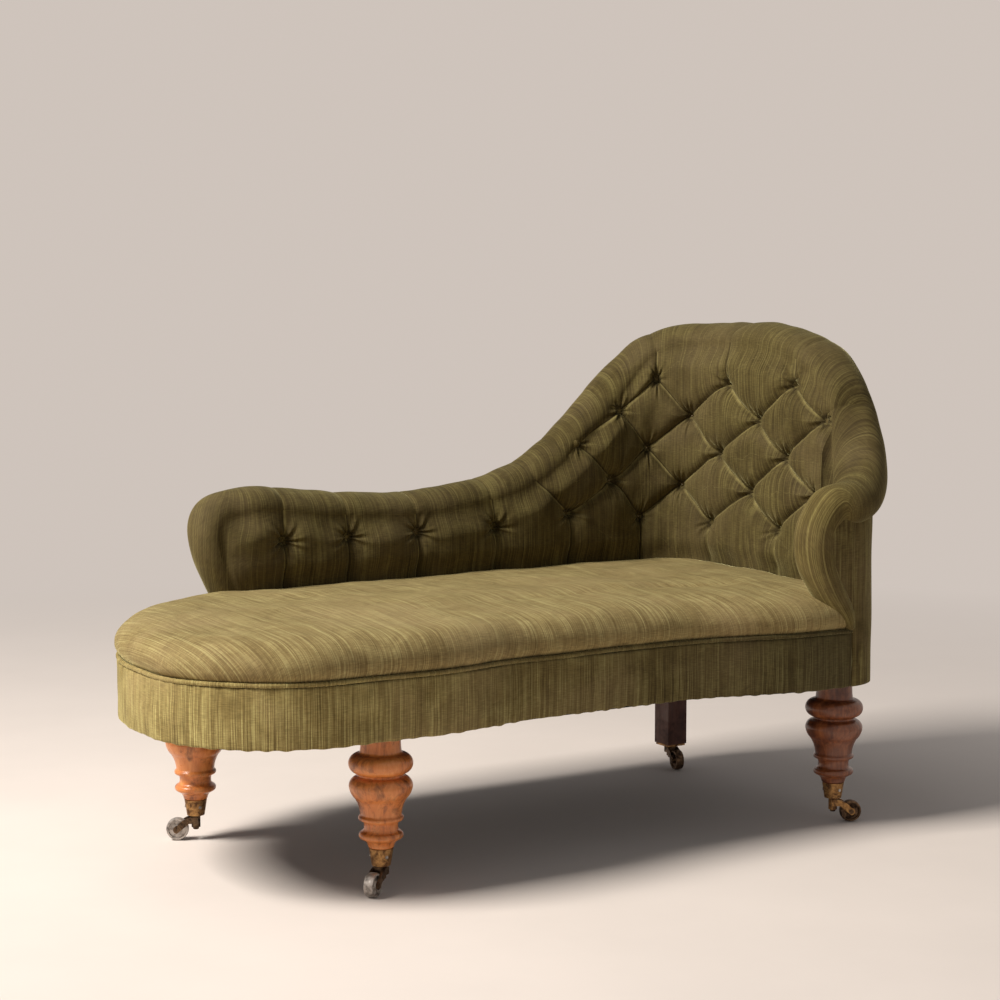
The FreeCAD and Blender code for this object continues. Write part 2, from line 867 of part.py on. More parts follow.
upright_count = 10
upright_first = back_body_start + bar_foot_length
upright_step = (path_end - 2.0 * bar_foot_length - back_body_start) / (upright_count - 1)
rod_places = steps_between(back_body_start + rod_end_inset, path_end - rod_end_inset)
top_rod = Part.makeLoft([rod_section(s) for s in rod_places], True, True)
save("back_top_rod", top_rod)
uprights = []
foot_screws = []
foot_screw_holes = []
for i in range(upright_count):
    s = upright_first + i * upright_step
    base, normal = path.frame(s)
    along = vec(normal.y, -normal.x)
    turn = math.degrees(math.atan2(along.y, along.x))
    top_z = crown_height(s) - roll_radius - rod_drop
    foot_top = rail_top_z + bar_foot_thickness
    bar = box(-bar_width / 2.0, bar_width / 2.0, -bar_thickness / 2.0, bar_thickness / 2.0, foot_top, top_z)
    foot = box(-bar_foot_length / 2.0, bar_foot_length / 2.0, bar_foot_inner, bar_foot_outer, rail_top_z, foot_top)
    upright = bar.fuse(foot).removeSplitter()
    for side in (-1.0, 1.0):
        sx = side * foot_screw_spread
        shank = cylinder(foot_screw_radius, sx, foot_screw_offset, foot_top - foot_screw_depth, foot_top)
        head = cylinder(foot_screw_head_radius, sx, foot_screw_offset, foot_top, foot_top + foot_screw_head_height)
        upright = upright.cut(shank)
        foot_screws.append(turned_to(shank.fuse(head).removeSplitter(), turn, base.x, base.y))
        foot_screw_holes.append(turned_to(shank, turn, base.x, base.y))
    placed = turned_to(upright, turn, base.x, base.y).cut(top_rod)
    uprights.append(max(placed.Solids, key=lambda solid: solid.Volume))

rail_outer = cover_thickness
rail_inner = cover_thickness + rail_width
frame_wall = ring(rim, rail_inner, rail_outer, rail_bottom_z, rail_top_z)
frame_wall = frame_wall.cut(group(dowel_holes)).cut(group(foot_screw_holes))
middle_y = (rear_y + front_y) / 2.0
low_z = rail_bottom_z - 1.0
high_z = rail_top_z + 1.0
rail_regions = {
    "seat_rail_foot": box(-BIG, foot_joint_x, -BIG, BIG, low_z, high_z),
    "seat_rail_front": box(foot_joint_x, head_joint_x, -BIG, middle_y, low_z, high_z),
    "seat_rail_rear": box(foot_joint_x, head_joint_x, middle_y, BIG, low_z, high_z),
    "seat_rail_head": box(head_joint_x, BIG, -BIG, BIG, low_z, high_z),
}
for name, region in rail_regions.items():
    save(name, frame_wall.common(region).Solids[0])

well = prism(rim, rail_bottom_z, rail_top_z, rail_inner)
half_block = block_size / 2.0
blocks = []
for (x, y), heading in legs.values():
    block = box(x - half_block, x + half_block, y - half_block, y + half_block,
                rail_bottom_z, rail_bottom_z + block_height)
    blocks.append(block.common(well).cut(group(dowel_holes)).Solids[0])
save("corner_blocks", group(blocks))
half_cross = cross_rail_width / 2.0
cross = box(cross_rail_x - half_cross, cross_rail_x + half_cross, -BIG, BIG,
            rail_bottom_z, rail_bottom_z + cross_rail_height)
save("seat_cross_rail", cross.common(well))

# Webbing, springs and hessian of the seat
leg_rooms = []
for name, ((x, y), heading) in legs.items():
    room = leg_neck_radius + 3.0
    leg_rooms.append(cylinder(room, x, y, hem_z - 1.0, rail_bottom_z))
leg_rooms = group(leg_rooms)
tack_inset = cover_thickness + rail_width * 0.4
upper_web_z = rail_bottom_z - webbing_thickness
lower_web_z = upper_web_z - webbing_thickness
half_web = webbing_width / 2.0
upper_zone = prism(rim, upper_web_z, rail_bottom_z, tack_inset).cut(leg_rooms)
lower_zone = prism(rim, lower_web_z, upper_web_z, tack_inset).cut(leg_rooms)
spring_xs = [spring_first_x + i * spring_step_x for i in range(spring_columns)]
long_strips = []
for y in spring_rows_y:
    strip = box(-BIG, BIG, y - half_web, y + half_web, upper_web_z, rail_bottom_z).common(upper_zone)
    long_strips += strip.Solids
cross_strips = []
for x in spring_xs:
    strip = box(x - half_web, x + half_web, -BIG, BIG, lower_web_z, upper_web_z).common(lower_zone)
    cross_strips += strip.Solids
save("webbing_long", group(long_strips))
save("webbing_cross", group(cross_strips))
dust = prism(rim, hem_z, hem_z + dust_cloth_thickness, cover_thickness).cut(leg_rooms)
save("dust_cloth", dust)

spring_top_z = rail_top_z
spring_room = prism(rim, rail_bottom_z, rail_top_z, rail_inner + spring_rail_clearance)
springs = []
for x in spring_xs:
    for y in spring_rows_y:
        near_leg = any(math.hypot(x - lx, y - ly) < spring_leg_clearance + spring_radius
                       for (lx, ly), heading in legs.values())
        near_cross = abs(x - cross_rail_x) < half_cross + spring_radius
        foot = cylinder(spring_radius, x, y, rail_bottom_z, rail_top_z)
        outside = foot.common(spring_room).Volume < 0.999 * foot.Volume
        if near_leg or near_cross or outside:
            continue
        middle_z = (rail_bottom_z + spring_top_z) / 2.0
        springs.append(revolve_profile([
            (0.0, rail_bottom_z),
            (spring_radius, rail_bottom_z),
            (spring_waist_radius, middle_z, spring_radius, spring_top_z),
            (0.0, spring_top_z),
        ], x, y))
save("seat_springs", group(springs))
hessian_inset = cover_offset - pad_back_offset
save("seat_hessian", prism(rim, rail_top_z, pad_bottom_z, hessian_inset))

# Stuffed front end of the arm, in level sections from the welt to its top
arm_front_sections = [
    (pad_bottom_z + 8.0, -314.0, 7.0, 4.0),
    (372.0, -310.0, 18.0, 22.0),
    (400.0, -304.0, 26.0, 50.0),
    (430.0, -298.0, 31.0, 68.0),
    (500.0, -292.0, 35.0, 84.0),
    (540.0, -292.0, 35.0, 80.0),
    (570.0, -292.0, 33.0, 66.0),
    (arm_z - 8.0, -293.0, 26.0, 36.0),
    (arm_z + 1.0, -295.0, 14.0, 8.0),
]


def arm_front(extra):
    wires = []
    for z, y, half, depth in arm_front_sections:
        w = half + extra
        d = depth + extra
        x0 = arm_end_x
        reach = x0 - d
        flat = x0 - max(d - w, 0.5)
        q = math.sqrt(0.5)
        a = vec(x0, y + w, z)
        b = vec(flat, y + w, z)
        c = vec(reach, y, z)
        e = vec(flat, y - w, z)
        f = vec(x0, y - w, z)
        bc = vec(flat - (flat - reach) * q, y + w * q, z)
        ce = vec(flat - (flat - reach) * q, y - w * q, z)
        wires.append(Part.Wire([
            Part.LineSegment(a, b).toShape(),
            Part.Arc(b, bc, c).toShape(),
            Part.Arc(c, ce, e).toShape(),
            Part.LineSegment(e, f).toShape(),
            Part.LineSegment(f, a).toShape(),
        ]))
    return Part.makeLoft(wires, True, True)


save("arm_front_pad", arm_front(0.0))

# Seat stuffing: plan outlines drawn in step by step up to the crown
welt_top_z = welt_z + welt_radius
seat_levels = [
    (pad_bottom_z, 6.0),
    (welt_top_z, 6.0),
    (welt_top_z + 3.0, 1.0),
    (welt_top_z + 14.0, -3.0),
    (welt_top_z + 28.0, 0.0),
    (welt_top_z + 42.0, 10.0),
    (welt_top_z + 53.0, 28.0),
    (seat_crown_z - 6.0, 60.0),
    (seat_crown_z - 2.0, 110.0),
    (seat_crown_z, 170.0),
]
seat_wires = [Part.Wire(plan_edges(crown_rim, z, inset)) for z, inset in seat_levels]
seat_form = Part.makeLoft(seat_wires, True, True)
seat_limit = base_depth + seat_gap
back_foot_x = back_start_x + back_body_start - seat_gap
zone_z = pad_bottom_z - 1.0
zone_line = [(back_foot_x, back_y, 0.0)] + back_line[1:]
zone_edges = plan_edges(zone_line, zone_z, -seat_limit, False)
zone_points = [
    vec(arm_end_x, arm_y + seat_limit, zone_z),
    vec(arm_end_x, -BIG, zone_z),
    vec(-BIG, -BIG, zone_z),
    vec(-BIG, BIG, zone_z),
    vec(back_foot_x, BIG, zone_z),
    vec(back_foot_x, back_y - seat_limit, zone_z),
]
zone_lines = [Part.LineSegment(a, b).toShape() for a, b in zip(zone_points, zone_points[1:])]
zone_wire = Part.Wire(Part.__sortEdges__(zone_edges + zone_lines))
seat_zone = Part.Face(zone_wire).extrude(vec(0, 0, BIG / 10.0))
seat = seat_form.common(seat_zone).cut(arm_front(0.3))
save("seat_pad", seat.Solids[0])

# Border cloth round the seat frame, and the welt above it
border_top_z = welt_z - welt_radius - 0.2
border = ring(rim, cover_thickness, 0.0, hem_z, border_top_z)
beyond_arm = box(arm_end_x, BIG, -BIG, 0.0, 0.0, BIG)
beyond_back = box(back_start_x + back_body_start, BIG, 0.0, BIG, 0.0, BIG)
save("seat_border", border.cut(beyond_arm).cut(beyond_back).Solids[0])
welt_path = Part.Wire(plan_edges(rim, welt_z, 1.0))
start_edge = welt_path.Edges[0]
start_point = start_edge.valueAt(start_edge.FirstParameter)
start_run = start_edge.tangentAt(start_edge.FirstParameter)
welt_face = Part.Wire(Part.makeCircle(welt_radius, start_point, start_run))
welt = welt_path.makePipeShell([welt_face], True, False)
back_end_room = box(back_foot_x, BIG, 0.0, BIG, 0.0, BIG)
welt = welt.cut(beyond_arm).cut(back_end_room)
save("seat_welt", welt.Solids[0])

# Stuffed back in five stretches, with a pocket for each button
button_places = []
for i in range(low_button_count):
    button_places.append((2.0 * i, 1))
for c in range(int(head_column), int(last_column)):
    for row in range(1, row_count + 1):
        s, level = place_of_button(c, row)
        if (c + row) % 2 == 1 and level < crown_height(s) - row_margin:
            button_places.append((float(c), row))


def button_frame(c, row):
    s, z = place_of_button(c, row)
    normal = path.frame(s)[1]
    seat_point = path.point(s, inner_offset(s, z, 0.0), z)
    return seat_point, normal, path.point(s, pad_back_offset + hessian_thickness, z)


buttons = []
twines = []
pockets = []
for c, row in button_places:
    seat_point, outwards, anchor = button_frame(c, row)
    inwards = outwards * -1.0
    body = Part.makeCylinder(button_radius, button_edge, seat_point, inwards)
    bulge = (button_radius ** 2 + button_dome ** 2) / (2.0 * button_dome)
    ball = Part.makeSphere(bulge, seat_point + inwards * (button_edge + button_dome - bulge))
    cap = ball.common(Part.makeCylinder(button_radius, button_dome + 1.0, seat_point + inwards * button_edge, inwards))
    buttons.append(body.fuse(cap).removeSplitter())
    length = (anchor - seat_point).Length
    twine = Part.makeCylinder(twine_radius, length, seat_point, outwards)
    twines.append(twine)
    pockets.append(Part.makeCylinder(button_radius + button_clearance, pinch_depth, seat_point, inwards))
    pockets.append(twine)
save("back_buttons", group(buttons))
save("button_twines", group(twines))

rise_start = (low_button_places[-1] + head_places[0]) / 2.0
pads = {
    "low_back_pad": (back_body_start, rise_start),
    "rising_back_pad": (rise_start, straight_end),
    "corner_back_pad": (straight_end, corner_end),
    "head_back_pad": (corner_end, side_end),
    "arm_pad": (side_end, path_end),
}
for name, (first, last) in pads.items():
    pad = back_pad(first, last)
    for pocket in pockets:
        if pocket.BoundBox.intersect(pad.BoundBox):
            pad = pad.cut(pocket)
    save(name, pad.Solids[0])

# Rounded end of the low back: it leans out over the foot and is drawn in at its tip.
# Each section is (share of the reach, drawn-in amount, lowest height).
end_sections = [
    (0.0, 0.0, seat_crown_z + 4.0),
    (0.33, 1.0, seat_crown_z + 4.0),
    (0.62, 4.0, seat_crown_z + 9.0),
    (0.85, 14.0, 458.0),
    (1.0, 28.0, 492.0),
]
end_start_x = back_start_x + back_body_start
end_length = back_end_reach + back_body_start
end_wires = []
for share, inset, low in end_sections:
    x = end_start_x - share * end_length
    inner_y = back_y - base_depth + inset
    outer_y = back_y + cover_offset - cover_thickness - inset * 0.3
    top_z = crown_height(0.0) - inset * 0.8
    shoulder_z = max(top_z - roll_radius, low + 4.0)
    middle_y = (inner_y + outer_y) / 2.0
    q = math.sqrt(0.5)
    half = (outer_y - inner_y) / 2.0
    rise = top_z - shoulder_z
    p0 = vec(x, outer_y, low)
    p1 = vec(x, inner_y, low)
    p2 = vec(x, inner_y, shoulder_z)
    p3 = vec(x, middle_y, top_z)
    p4 = vec(x, outer_y, shoulder_z)
    end_wires.append(Part.Wire([
        Part.LineSegment(p0, p1).toShape(),
        Part.LineSegment(p1, p2).toShape(),
        Part.Arc(p2, vec(x, middle_y - half * q, shoulder_z + rise * q), p3).toShape(),
        Part.Arc(p3, vec(x, middle_y + half * q, shoulder_z + rise * q), p4).toShape(),
        Part.LineSegment(p4, p0).toShape(),
    ]))
save("low_back_end_pad", Part.makeLoft(end_wires, True, True))

# Iron back and its hessian
save("back_uprights", group(uprights))
save("upright_screws", group(foot_screws))
lath_inner = bar_thickness / 2.0 + lath_gap
save("back_lath", path_band(lath_inner, lath_inner + lath_thickness, lath_z, lath_z + lath_height))
hessian_outer = pad_back_offset + hessian_thickness
hessian_drop = roll_radius + roll_tuck_drop + hessian_gap
hessian = back_sheet(back_body_start, path_end, pad_back_offset, hessian_outer, pad_bottom_z, hessian_drop)
save("back_hessian", hessian.cut(group(twines)))

# Outside cover, in the four stretches between its seams
cover_inner = cover_offset - cover_thickness
cover_drop = roll_radius + roll_tuck_drop + tuck_gap
covers = {
    "outside_low_back": (back_body_start, straight_end),
    "outside_back_corner": (straight_end, corner_end),
    "outside_head": (corner_end, side_end),
    "outside_arm": (side_end, path_end),
}
for name, (first, last) in covers.items():
    save(name, back_sheet(first, last, cover_inner, cover_offset, hem_z, cover_drop))
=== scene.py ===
import logging
import math
from dataclasses import dataclass, field
from enum import Enum
from typing import Optional, Sequence

import bmesh
import bpy
import mathutils
import numpy as np
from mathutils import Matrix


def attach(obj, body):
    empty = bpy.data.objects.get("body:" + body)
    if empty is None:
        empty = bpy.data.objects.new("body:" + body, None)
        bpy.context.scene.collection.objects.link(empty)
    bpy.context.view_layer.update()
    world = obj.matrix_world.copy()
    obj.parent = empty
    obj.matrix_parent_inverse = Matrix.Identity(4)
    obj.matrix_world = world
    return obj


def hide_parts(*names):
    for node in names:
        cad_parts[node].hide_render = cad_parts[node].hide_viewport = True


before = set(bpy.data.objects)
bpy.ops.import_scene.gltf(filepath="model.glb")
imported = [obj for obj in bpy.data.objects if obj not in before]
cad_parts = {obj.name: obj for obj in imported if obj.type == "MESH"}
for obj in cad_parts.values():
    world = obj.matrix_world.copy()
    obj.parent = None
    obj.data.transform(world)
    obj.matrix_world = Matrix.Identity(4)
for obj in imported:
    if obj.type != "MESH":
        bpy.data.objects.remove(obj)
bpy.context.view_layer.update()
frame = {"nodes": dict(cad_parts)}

LOG = logging.getLogger("chaise")

Array = np.ndarray
Triple = tuple[float, float, float]
Socket = bpy.types.NodeSocket
Material = bpy.types.Material
MM = 0.001


class Body(Enum):
    """CAD bodies that the pieces ride on."""

    CHAISE = "chaise"


class Slot(Enum):
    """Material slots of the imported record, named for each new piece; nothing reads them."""

    VELVET = "velvet"
    SEAT_VELVET = "seat_velvet"


class Draw(Enum):
    """Seeds of the unevenness, one for each kind."""

    BACK_LUMPS = 4
    ROLL_LUMPS = 6
    SEAT_RIPPLE = 11
    SEAT_SAG = 12
    SEAT_LUMPS = 13
    SEAT_CREASES = 14
    BORDER_PULL = 21
    BORDER_TUCKS = 22
    BORDER_FRAY = 23
    WELT_TICKS = 31
    WELT_SWAY = 32
    OUTSIDE_PULL = 41


# Small numeric helpers


def smooth(t: Array) -> Array:
    """Smooth step: 0 below 0, 1 above 1, with level ends."""
    t = np.clip(t, 0.0, 1.0)
    return t * t * (3.0 - 2.0 * t)


def rise(x: Array, start: float, length: float) -> Array:
    """0 up to the start, smoothly to 1 over the length, and 1 after it."""
    return smooth((x - start) / length)


def fall(x: Array, end: float, length: float) -> Array:
    """1 until the length before the end, smoothly to 0, and 0 from the end on."""
    return smooth((end - x) / length)


def unit(v: Array) -> Array:
    """Vectors along the last axis scaled to length 1."""
    return v / np.maximum(np.linalg.norm(v, axis=-1, keepdims=True), 1e-12)


def waves(x: Array, y: Array, seed: Draw, count: int, low: float, high: float) -> Array:
    """Soft irregular unevenness: a sum of sine waves of random direction and phase.

    Args:
        x, y: coordinates in metres.
        seed: fixes the draw.
        count: number of waves.
        low, high: range of their frequencies, in waves per metre.

    Returns:
        Heights of about -1 to 1.
    """
    rng = np.random.default_rng(seed.value)
    total = np.zeros(np.broadcast(x, y).shape)
    for _ in range(count):
        turn = rng.uniform(0.0, math.tau)
        pitch = rng.uniform(low, high)
        phase = rng.uniform(0.0, math.tau)
        total = total + np.sin(math.tau * pitch * (x * math.cos(turn) + y * math.sin(turn)) + phase)
    return total / math.sqrt(count)


class Monotone:
    """Smooth curve through knots that neither overshoots nor wiggles between them."""

    def __init__(self, knots: Sequence[tuple[float, float]]) -> None:
        """Slopes are harmonic means of the neighbouring chords, level at ends and turns.

        Args:
            knots: (x, y) pairs, from the lowest x to the highest.
        """
        self.x = np.array([k[0] for k in knots])
        self.y = np.array([k[1] for k in knots])
        chords = np.diff(self.y) / np.diff(self.x)
        slopes = np.zeros_like(self.x)
        a, b = chords[:-1], chords[1:]
        same = a * b > 0.0
        slopes[1:-1][same] = 2.0 * a[same] * b[same] / (a[same] + b[same])
        self.slopes = slopes

    def __call__(self, x: Array) -> Array:
        """Cubic Hermite value at x, held level outside the knots.

        Args:
            x: where to read the curve.

        Returns:
            Heights of the curve.
        """
        x = np.clip(np.asarray(x, float), self.x[0], self.x[-1])
        i = np.clip(np.searchsorted(self.x, x, side="right") - 1, 0, len(self.x) - 2)
        width = self.x[i + 1] - self.x[i]
        t = (x - self.x[i]) / width
        share = (3.0 - 2.0 * t) * t * t
        out = t * (1.0 - t) ** 2 * width * self.slopes[i]
        into = t * t * (t - 1.0) * width * self.slopes[i + 1]
        return self.y[i] + (self.y[i + 1] - self.y[i]) * share + out + into


class RoundedLine:
    """Plan line of straight runs and arcs, read by arc length."""

    def __init__(self, corners: Sequence[Triple], closed: bool) -> None:
        """Corners are (x, y, radius) in millimetres; the first and last of an open line are its ends.

        Args:
            corners: (x, y, radius) of each corner, in millimetres.
            closed: joins the last corner to the first.
        """
        points = np.array([c[:2] for c in corners], float)
        radii = np.array([c[2] for c in corners], float)
        count = len(points)
        sides = unit(np.roll(points, -1, axis=0) - points)
        starts, heads, bends, lengths = [], [], [], []
        last = points[0]
        order = range(count) if closed else range(1, count - 1)
        first = None
        for i in order:
            before, after = sides[i - 1], sides[i]
            turn = math.atan2(before[0] * after[1] - before[1] * after[0], float(before @ after))
            reach = abs(radii[i] * math.tan(turn / 2.0))
            enter = points[i] - before * reach
            leave = points[i] + after * reach
            if first is not None or not closed:
                starts.append(last)
                heads.append(before)
                bends.append(0.0)
                lengths.append(float(np.linalg.norm(enter - last)))
            starts.append(enter)
            heads.append(before)
            bends.append(math.copysign(1.0 / radii[i], turn))
            lengths.append(abs(radii[i] * turn))
            first = enter if first is None else first
            last = leave
        end = first if closed else points[-1]
        starts.append(last)
        heads.append(unit(end - last))
        bends.append(0.0)
        lengths.append(float(np.linalg.norm(end - last)))
        self.starts = np.array(starts)
        self.heads = np.array(heads)
        self.bends = np.array(bends)
        self.marks = np.concatenate([[0.0], np.cumsum(lengths)])
        self.length = float(self.marks[-1])
        self.closed = closed

    def at(self, s: Array) -> tuple[Array, Array]:
        """Points and left normals at arc lengths s; an open line runs on straight past its ends.

        Args:
            s: arc lengths in millimetres.

        Returns:
            Points and left normals, each with x and y on the last axis.
        """
        s = np.asarray(s, float)
        if self.closed:
            s = np.mod(s, self.length)
        i = np.clip(np.searchsorted(self.marks, s, side="right") - 1, 0, len(self.starts) - 1)
        run = s - self.marks[i]
        bend = self.bends[i]
        head = self.heads[i]
        left = np.stack([-head[..., 1], head[..., 0]], -1)
        safe = np.where(bend == 0.0, 1.0, bend)
        past = (s < 0.0) | (s > self.length) if not self.closed else np.zeros(s.shape, bool)
        curved = (bend != 0.0) & ~past
        along = np.where(curved, np.sin(safe * run) / safe, run)
        aside = np.where(curved, (1.0 - np.cos(safe * run)) / safe, 0.0)
        place = self.starts[i] + head * along[..., None] + left * aside[..., None]
        angle = np.where(curved, safe * run, 0.0)
        c, q = np.cos(angle)[..., None], np.sin(angle)[..., None]
        heading = head * c + left * q
        return place, np.stack([-heading[..., 1], heading[..., 0]], -1)


# Mesh making


def grid_faces(rows: int, cols: int, wrap_rows: bool = False, wrap_cols: bool = False) -> Array:
    """Quads of a grid of rows by cols points, numbered row by row.

    Args:
        rows, cols: points of the grid each way.
        wrap_rows: joins the last row to the first.
        wrap_cols: joins the last column to the first.

    Returns:
        Corner numbers, four for each quad.
    """
    r = np.arange(rows if wrap_rows else rows - 1)
    c = np.arange(cols if wrap_cols else cols - 1)
    r, c = np.meshgrid(r, c, indexing="ij")
    r1, c1 = (r + 1) % rows, (c + 1) % cols
    quads = np.stack([r * cols + c, r1 * cols + c, r1 * cols + c1, r * cols + c1], -1)
    return quads.reshape(-1, 4)


def new_piece(
    name: str,
    points: Array,
    faces: Array,
    uv: Optional[Array] = None,
    flip: bool = False,
    merge: float = 0.0,
    folds: Optional[Array] = None,
) -> bpy.types.Object:
    """Mesh object from points in millimetres, smooth shaded, with its own cloth map.

    Args:
        name: the piece's name.
        points: (n, 3) places in millimetres.
        faces: (m, 4) corner numbers.
        uv: (n, 2) map in metres, or None.
        flip: turns the faces round.
        merge: joins points nearer than this many millimetres and drops empty faces.
        folds: (n, 3) signed distance to the nearest fold, distance to the nearest button, both in
            metres, and share of the arm's end; or None.

    Returns:
        The new object.
    """
    faces = faces[:, ::-1] if flip else faces
    mesh = bpy.data.meshes.new(name)
    mesh.vertices.add(len(points))
    mesh.vertices.foreach_set("co", (points * MM).astype(np.float32).ravel())
    mesh.loops.add(faces.size)
    mesh.loops.foreach_set("vertex_index", faces.astype(np.int32).ravel())
    mesh.polygons.add(len(faces))
    mesh.polygons.foreach_set("loop_start", np.arange(0, faces.size, 4, dtype=np.int32))
    mesh.update(calc_edges=True)
    if uv is not None:
        layer = mesh.uv_layers.new(name="cloth")
        layer.data.foreach_set("uv", uv[faces.ravel()].astype(np.float32).ravel())
    if folds is not None:
        kept = mesh.attributes.new(name="fold", type="FLOAT_VECTOR", domain="POINT")
        kept.data.foreach_set("vector", folds.astype(np.float32).ravel())
    mesh.validate()
    if merge > 0.0:
        work = bmesh.new()
        work.from_mesh(mesh)
        bmesh.ops.remove_doubles(work, verts=work.verts, dist=merge * MM)
        bmesh.ops.dissolve_degenerate(work, dist=1e-6, edges=work.edges)
        work.to_mesh(mesh)
        work.free()
    mesh.polygons.foreach_set("use_smooth", np.ones(len(mesh.polygons), bool))
    mesh.update()
    piece = bpy.data.objects.new(name, mesh)
    bpy.context.scene.collection.objects.link(piece)
    return piece


def seat_on(piece: bpy.types.Object, slot: Slot, material: Material, *nodes: str) -> None:
    """Dresses a new piece, lets it ride on the chaise and stand for CAD nodes.

    Args:
        piece: the new piece.
        slot: not used.
        material: the material it shows.
        nodes: names of the CAD nodes it stands for.
    """
    piece.data.materials.clear()
    piece.data.materials.append(material)
    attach(piece, Body.CHAISE.value)
    if nodes:
        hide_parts(*nodes)


# Materials


class Nodes:
    """Short way to write one material's node tree."""

    def __init__(self, name: str) -> None:
        """A fresh node material with one Principled shader.

        Args:
            name: the material's name.
        """
        self.material = bpy.data.materials.new(name)
        self.material.use_nodes = True
        self.tree = self.material.node_tree
        self.tree.nodes.clear()
        self.output = self.tree.nodes.new("ShaderNodeOutputMaterial")
        self.shader = self.tree.nodes.new("ShaderNodeBsdfPrincipled")
        self.tree.links.new(self.shader.outputs["BSDF"], self.output.inputs["Surface"])

    def link(self, source: Socket, target: Socket) -> None:
        """Joins two sockets."""
        self.tree.links.new(source, target)

    def set(self, **values: object) -> None:
        """Sets constants on the shader's own sockets; spaces are written as underscores."""
        for key, value in values.items():
            self.shader.inputs[key.replace("_", " ")].default_value = value

    def coordinates(self, own_map: bool) -> Socket:
        """The piece's own map, or the object's own place.

        Args:
            own_map: takes the piece's own map instead of its place.

        Returns:
            Socket of the coordinates.
        """
        if own_map:
            node = self.tree.nodes.new("ShaderNodeUVMap")
            node.uv_map = "cloth"
            return node.outputs["UV"]
        return self.tree.nodes.new("ShaderNodeTexCoord").outputs["Object"]

    def mapped(
        self,
        source: Socket,
        scale: Triple,
        turn: Triple = (0.0, 0.0, 0.0),
        move: Triple = (0.0, 0.0, 0.0),
    ) -> Socket:
        """Coordinates moved, turned and scaled.

        Args:
            source: coordinates to change.
            scale: factor along each axis.
            turn: turn about each axis, in radians.
            move: shift along each axis.

        Returns:
            Socket of the changed coordinates.
        """
        node = self.tree.nodes.new("ShaderNodeMapping")
        node.inputs["Location"].default_value = move
        node.inputs["Rotation"].default_value = turn
        node.inputs["Scale"].default_value = scale
        self.link(source, node.inputs["Vector"])
        return node.outputs["Vector"]

    def noise(
        self,
        vector: Socket,
        scale: float,
        detail: float = 2.0,
        roughness: float = 0.5,
        distortion: float = 0.0,
    ) -> Socket:
        """Noise value at a vector.

        Args:
            vector: coordinates.
            scale: lumps to a unit of length.
            detail: number of finer octaves.
            roughness: strength of each finer octave.
            distortion: how far the noise is bent.

        Returns:
            Socket of a value of about 0 to 1.
        """
        node = self.tree.nodes.new("ShaderNodeTexNoise")
        node.inputs["Scale"].default_value = scale
        node.inputs["Detail"].default_value = detail
        node.inputs["Roughness"].default_value = roughness
        node.inputs["Distortion"].default_value = distortion
        self.link(vector, node.inputs["Vector"])
        return node.outputs["Fac"]

    def ramp(self, value: Socket, stops: Sequence[tuple[float, Triple]]) -> Socket:
        """Colour read off a ramp of (place, colour) stops.

        Args:
            value: number from 0 to 1.
            stops: (place, colour) pairs from low to high.

        Returns:
            Socket of the colour.
        """
        node = self.tree.nodes.new("ShaderNodeValToRGB")
        band = node.color_ramp
        while len(band.elements) < len(stops):
            band.elements.new(0.5)
        for element, (place, colour) in zip(band.elements, stops):
            element.position = place
            element.color = (*colour, 1.0)
        self.link(value, node.inputs["Fac"])
        return node.outputs["Color"]

    def spread(self, value: Socket, low: float, high: float, to_low: float, to_high: float) -> Socket:
        """Range low..high carried onto to_low..to_high, held at the ends.

        Args:
            value: number to change.
            low, high: range that it comes in.
            to_low, to_high: range that it is carried onto.

        Returns:
            Socket of the changed number.
        """
        node = self.tree.nodes.new("ShaderNodeMapRange")
        for key, number in zip(("From Min", "From Max", "To Min", "To Max"), (low, high, to_low, to_high)):
            node.inputs[key].default_value = number
        self.link(value, node.inputs["Value"])
        return node.outputs["Result"]

    def math(self, operation: str, a: Socket, b: Socket | float) -> Socket:
        """One arithmetic step.

        Args:
            operation: Blender's name for the step.
            a: first number.
            b: second number, from a socket or fixed.

        Returns:
            Socket of the result.
        """
        node = self.tree.nodes.new("ShaderNodeMath")
        node.operation = operation
        self.link(a, node.inputs[0])
        if isinstance(b, Socket):
            self.link(b, node.inputs[1])
        else:
            node.inputs[1].default_value = b
        return node.outputs["Value"]

    def mix(
        self,
        share: Socket | float,
        a: Socket | Triple,
        b: Socket | Triple,
        blend: str = "MIX",
    ) -> Socket:
        """Two colours mixed by a share.

        Args:
            share: share of the second colour.
            a, b: colours, each from a socket or fixed.
            blend: Blender's name for the way of mixing.

        Returns:
            Socket of the colour.
        """
        node = self.tree.nodes.new("ShaderNodeMix")
        node.data_type = "RGBA"
        node.blend_type = blend
        for key, value in zip((0, 6, 7), (share, a, b)):
            if isinstance(value, Socket):
                self.link(value, node.inputs[key])
            elif key == 0:
                node.inputs[key].default_value = value
            else:
                node.inputs[key].default_value = (*value, 1.0)
        return node.outputs[2]

    def bump(self, height: Socket, distance: float, strength: float = 1.0) -> Socket:
        """Bump of a height in metres, stacked on any bump already there.

        Args:
            height: height at each point.
            distance: metres to a height of 1.
            strength: share of the bump that shows.

        Returns:
            Socket of the bumped normal.
        """
        node = self.tree.nodes.new("ShaderNodeBump")
        node.inputs["Strength"].default_value = strength
        node.inputs["Distance"].default_value = distance
        self.link(height, node.inputs["Height"])
        normal = self.shader.inputs["Normal"]
        if normal.is_linked:
            self.link(normal.links[0].from_socket, node.inputs["Normal"])
        self.link(node.outputs["Normal"], normal)
        return node.outputs["Normal"]


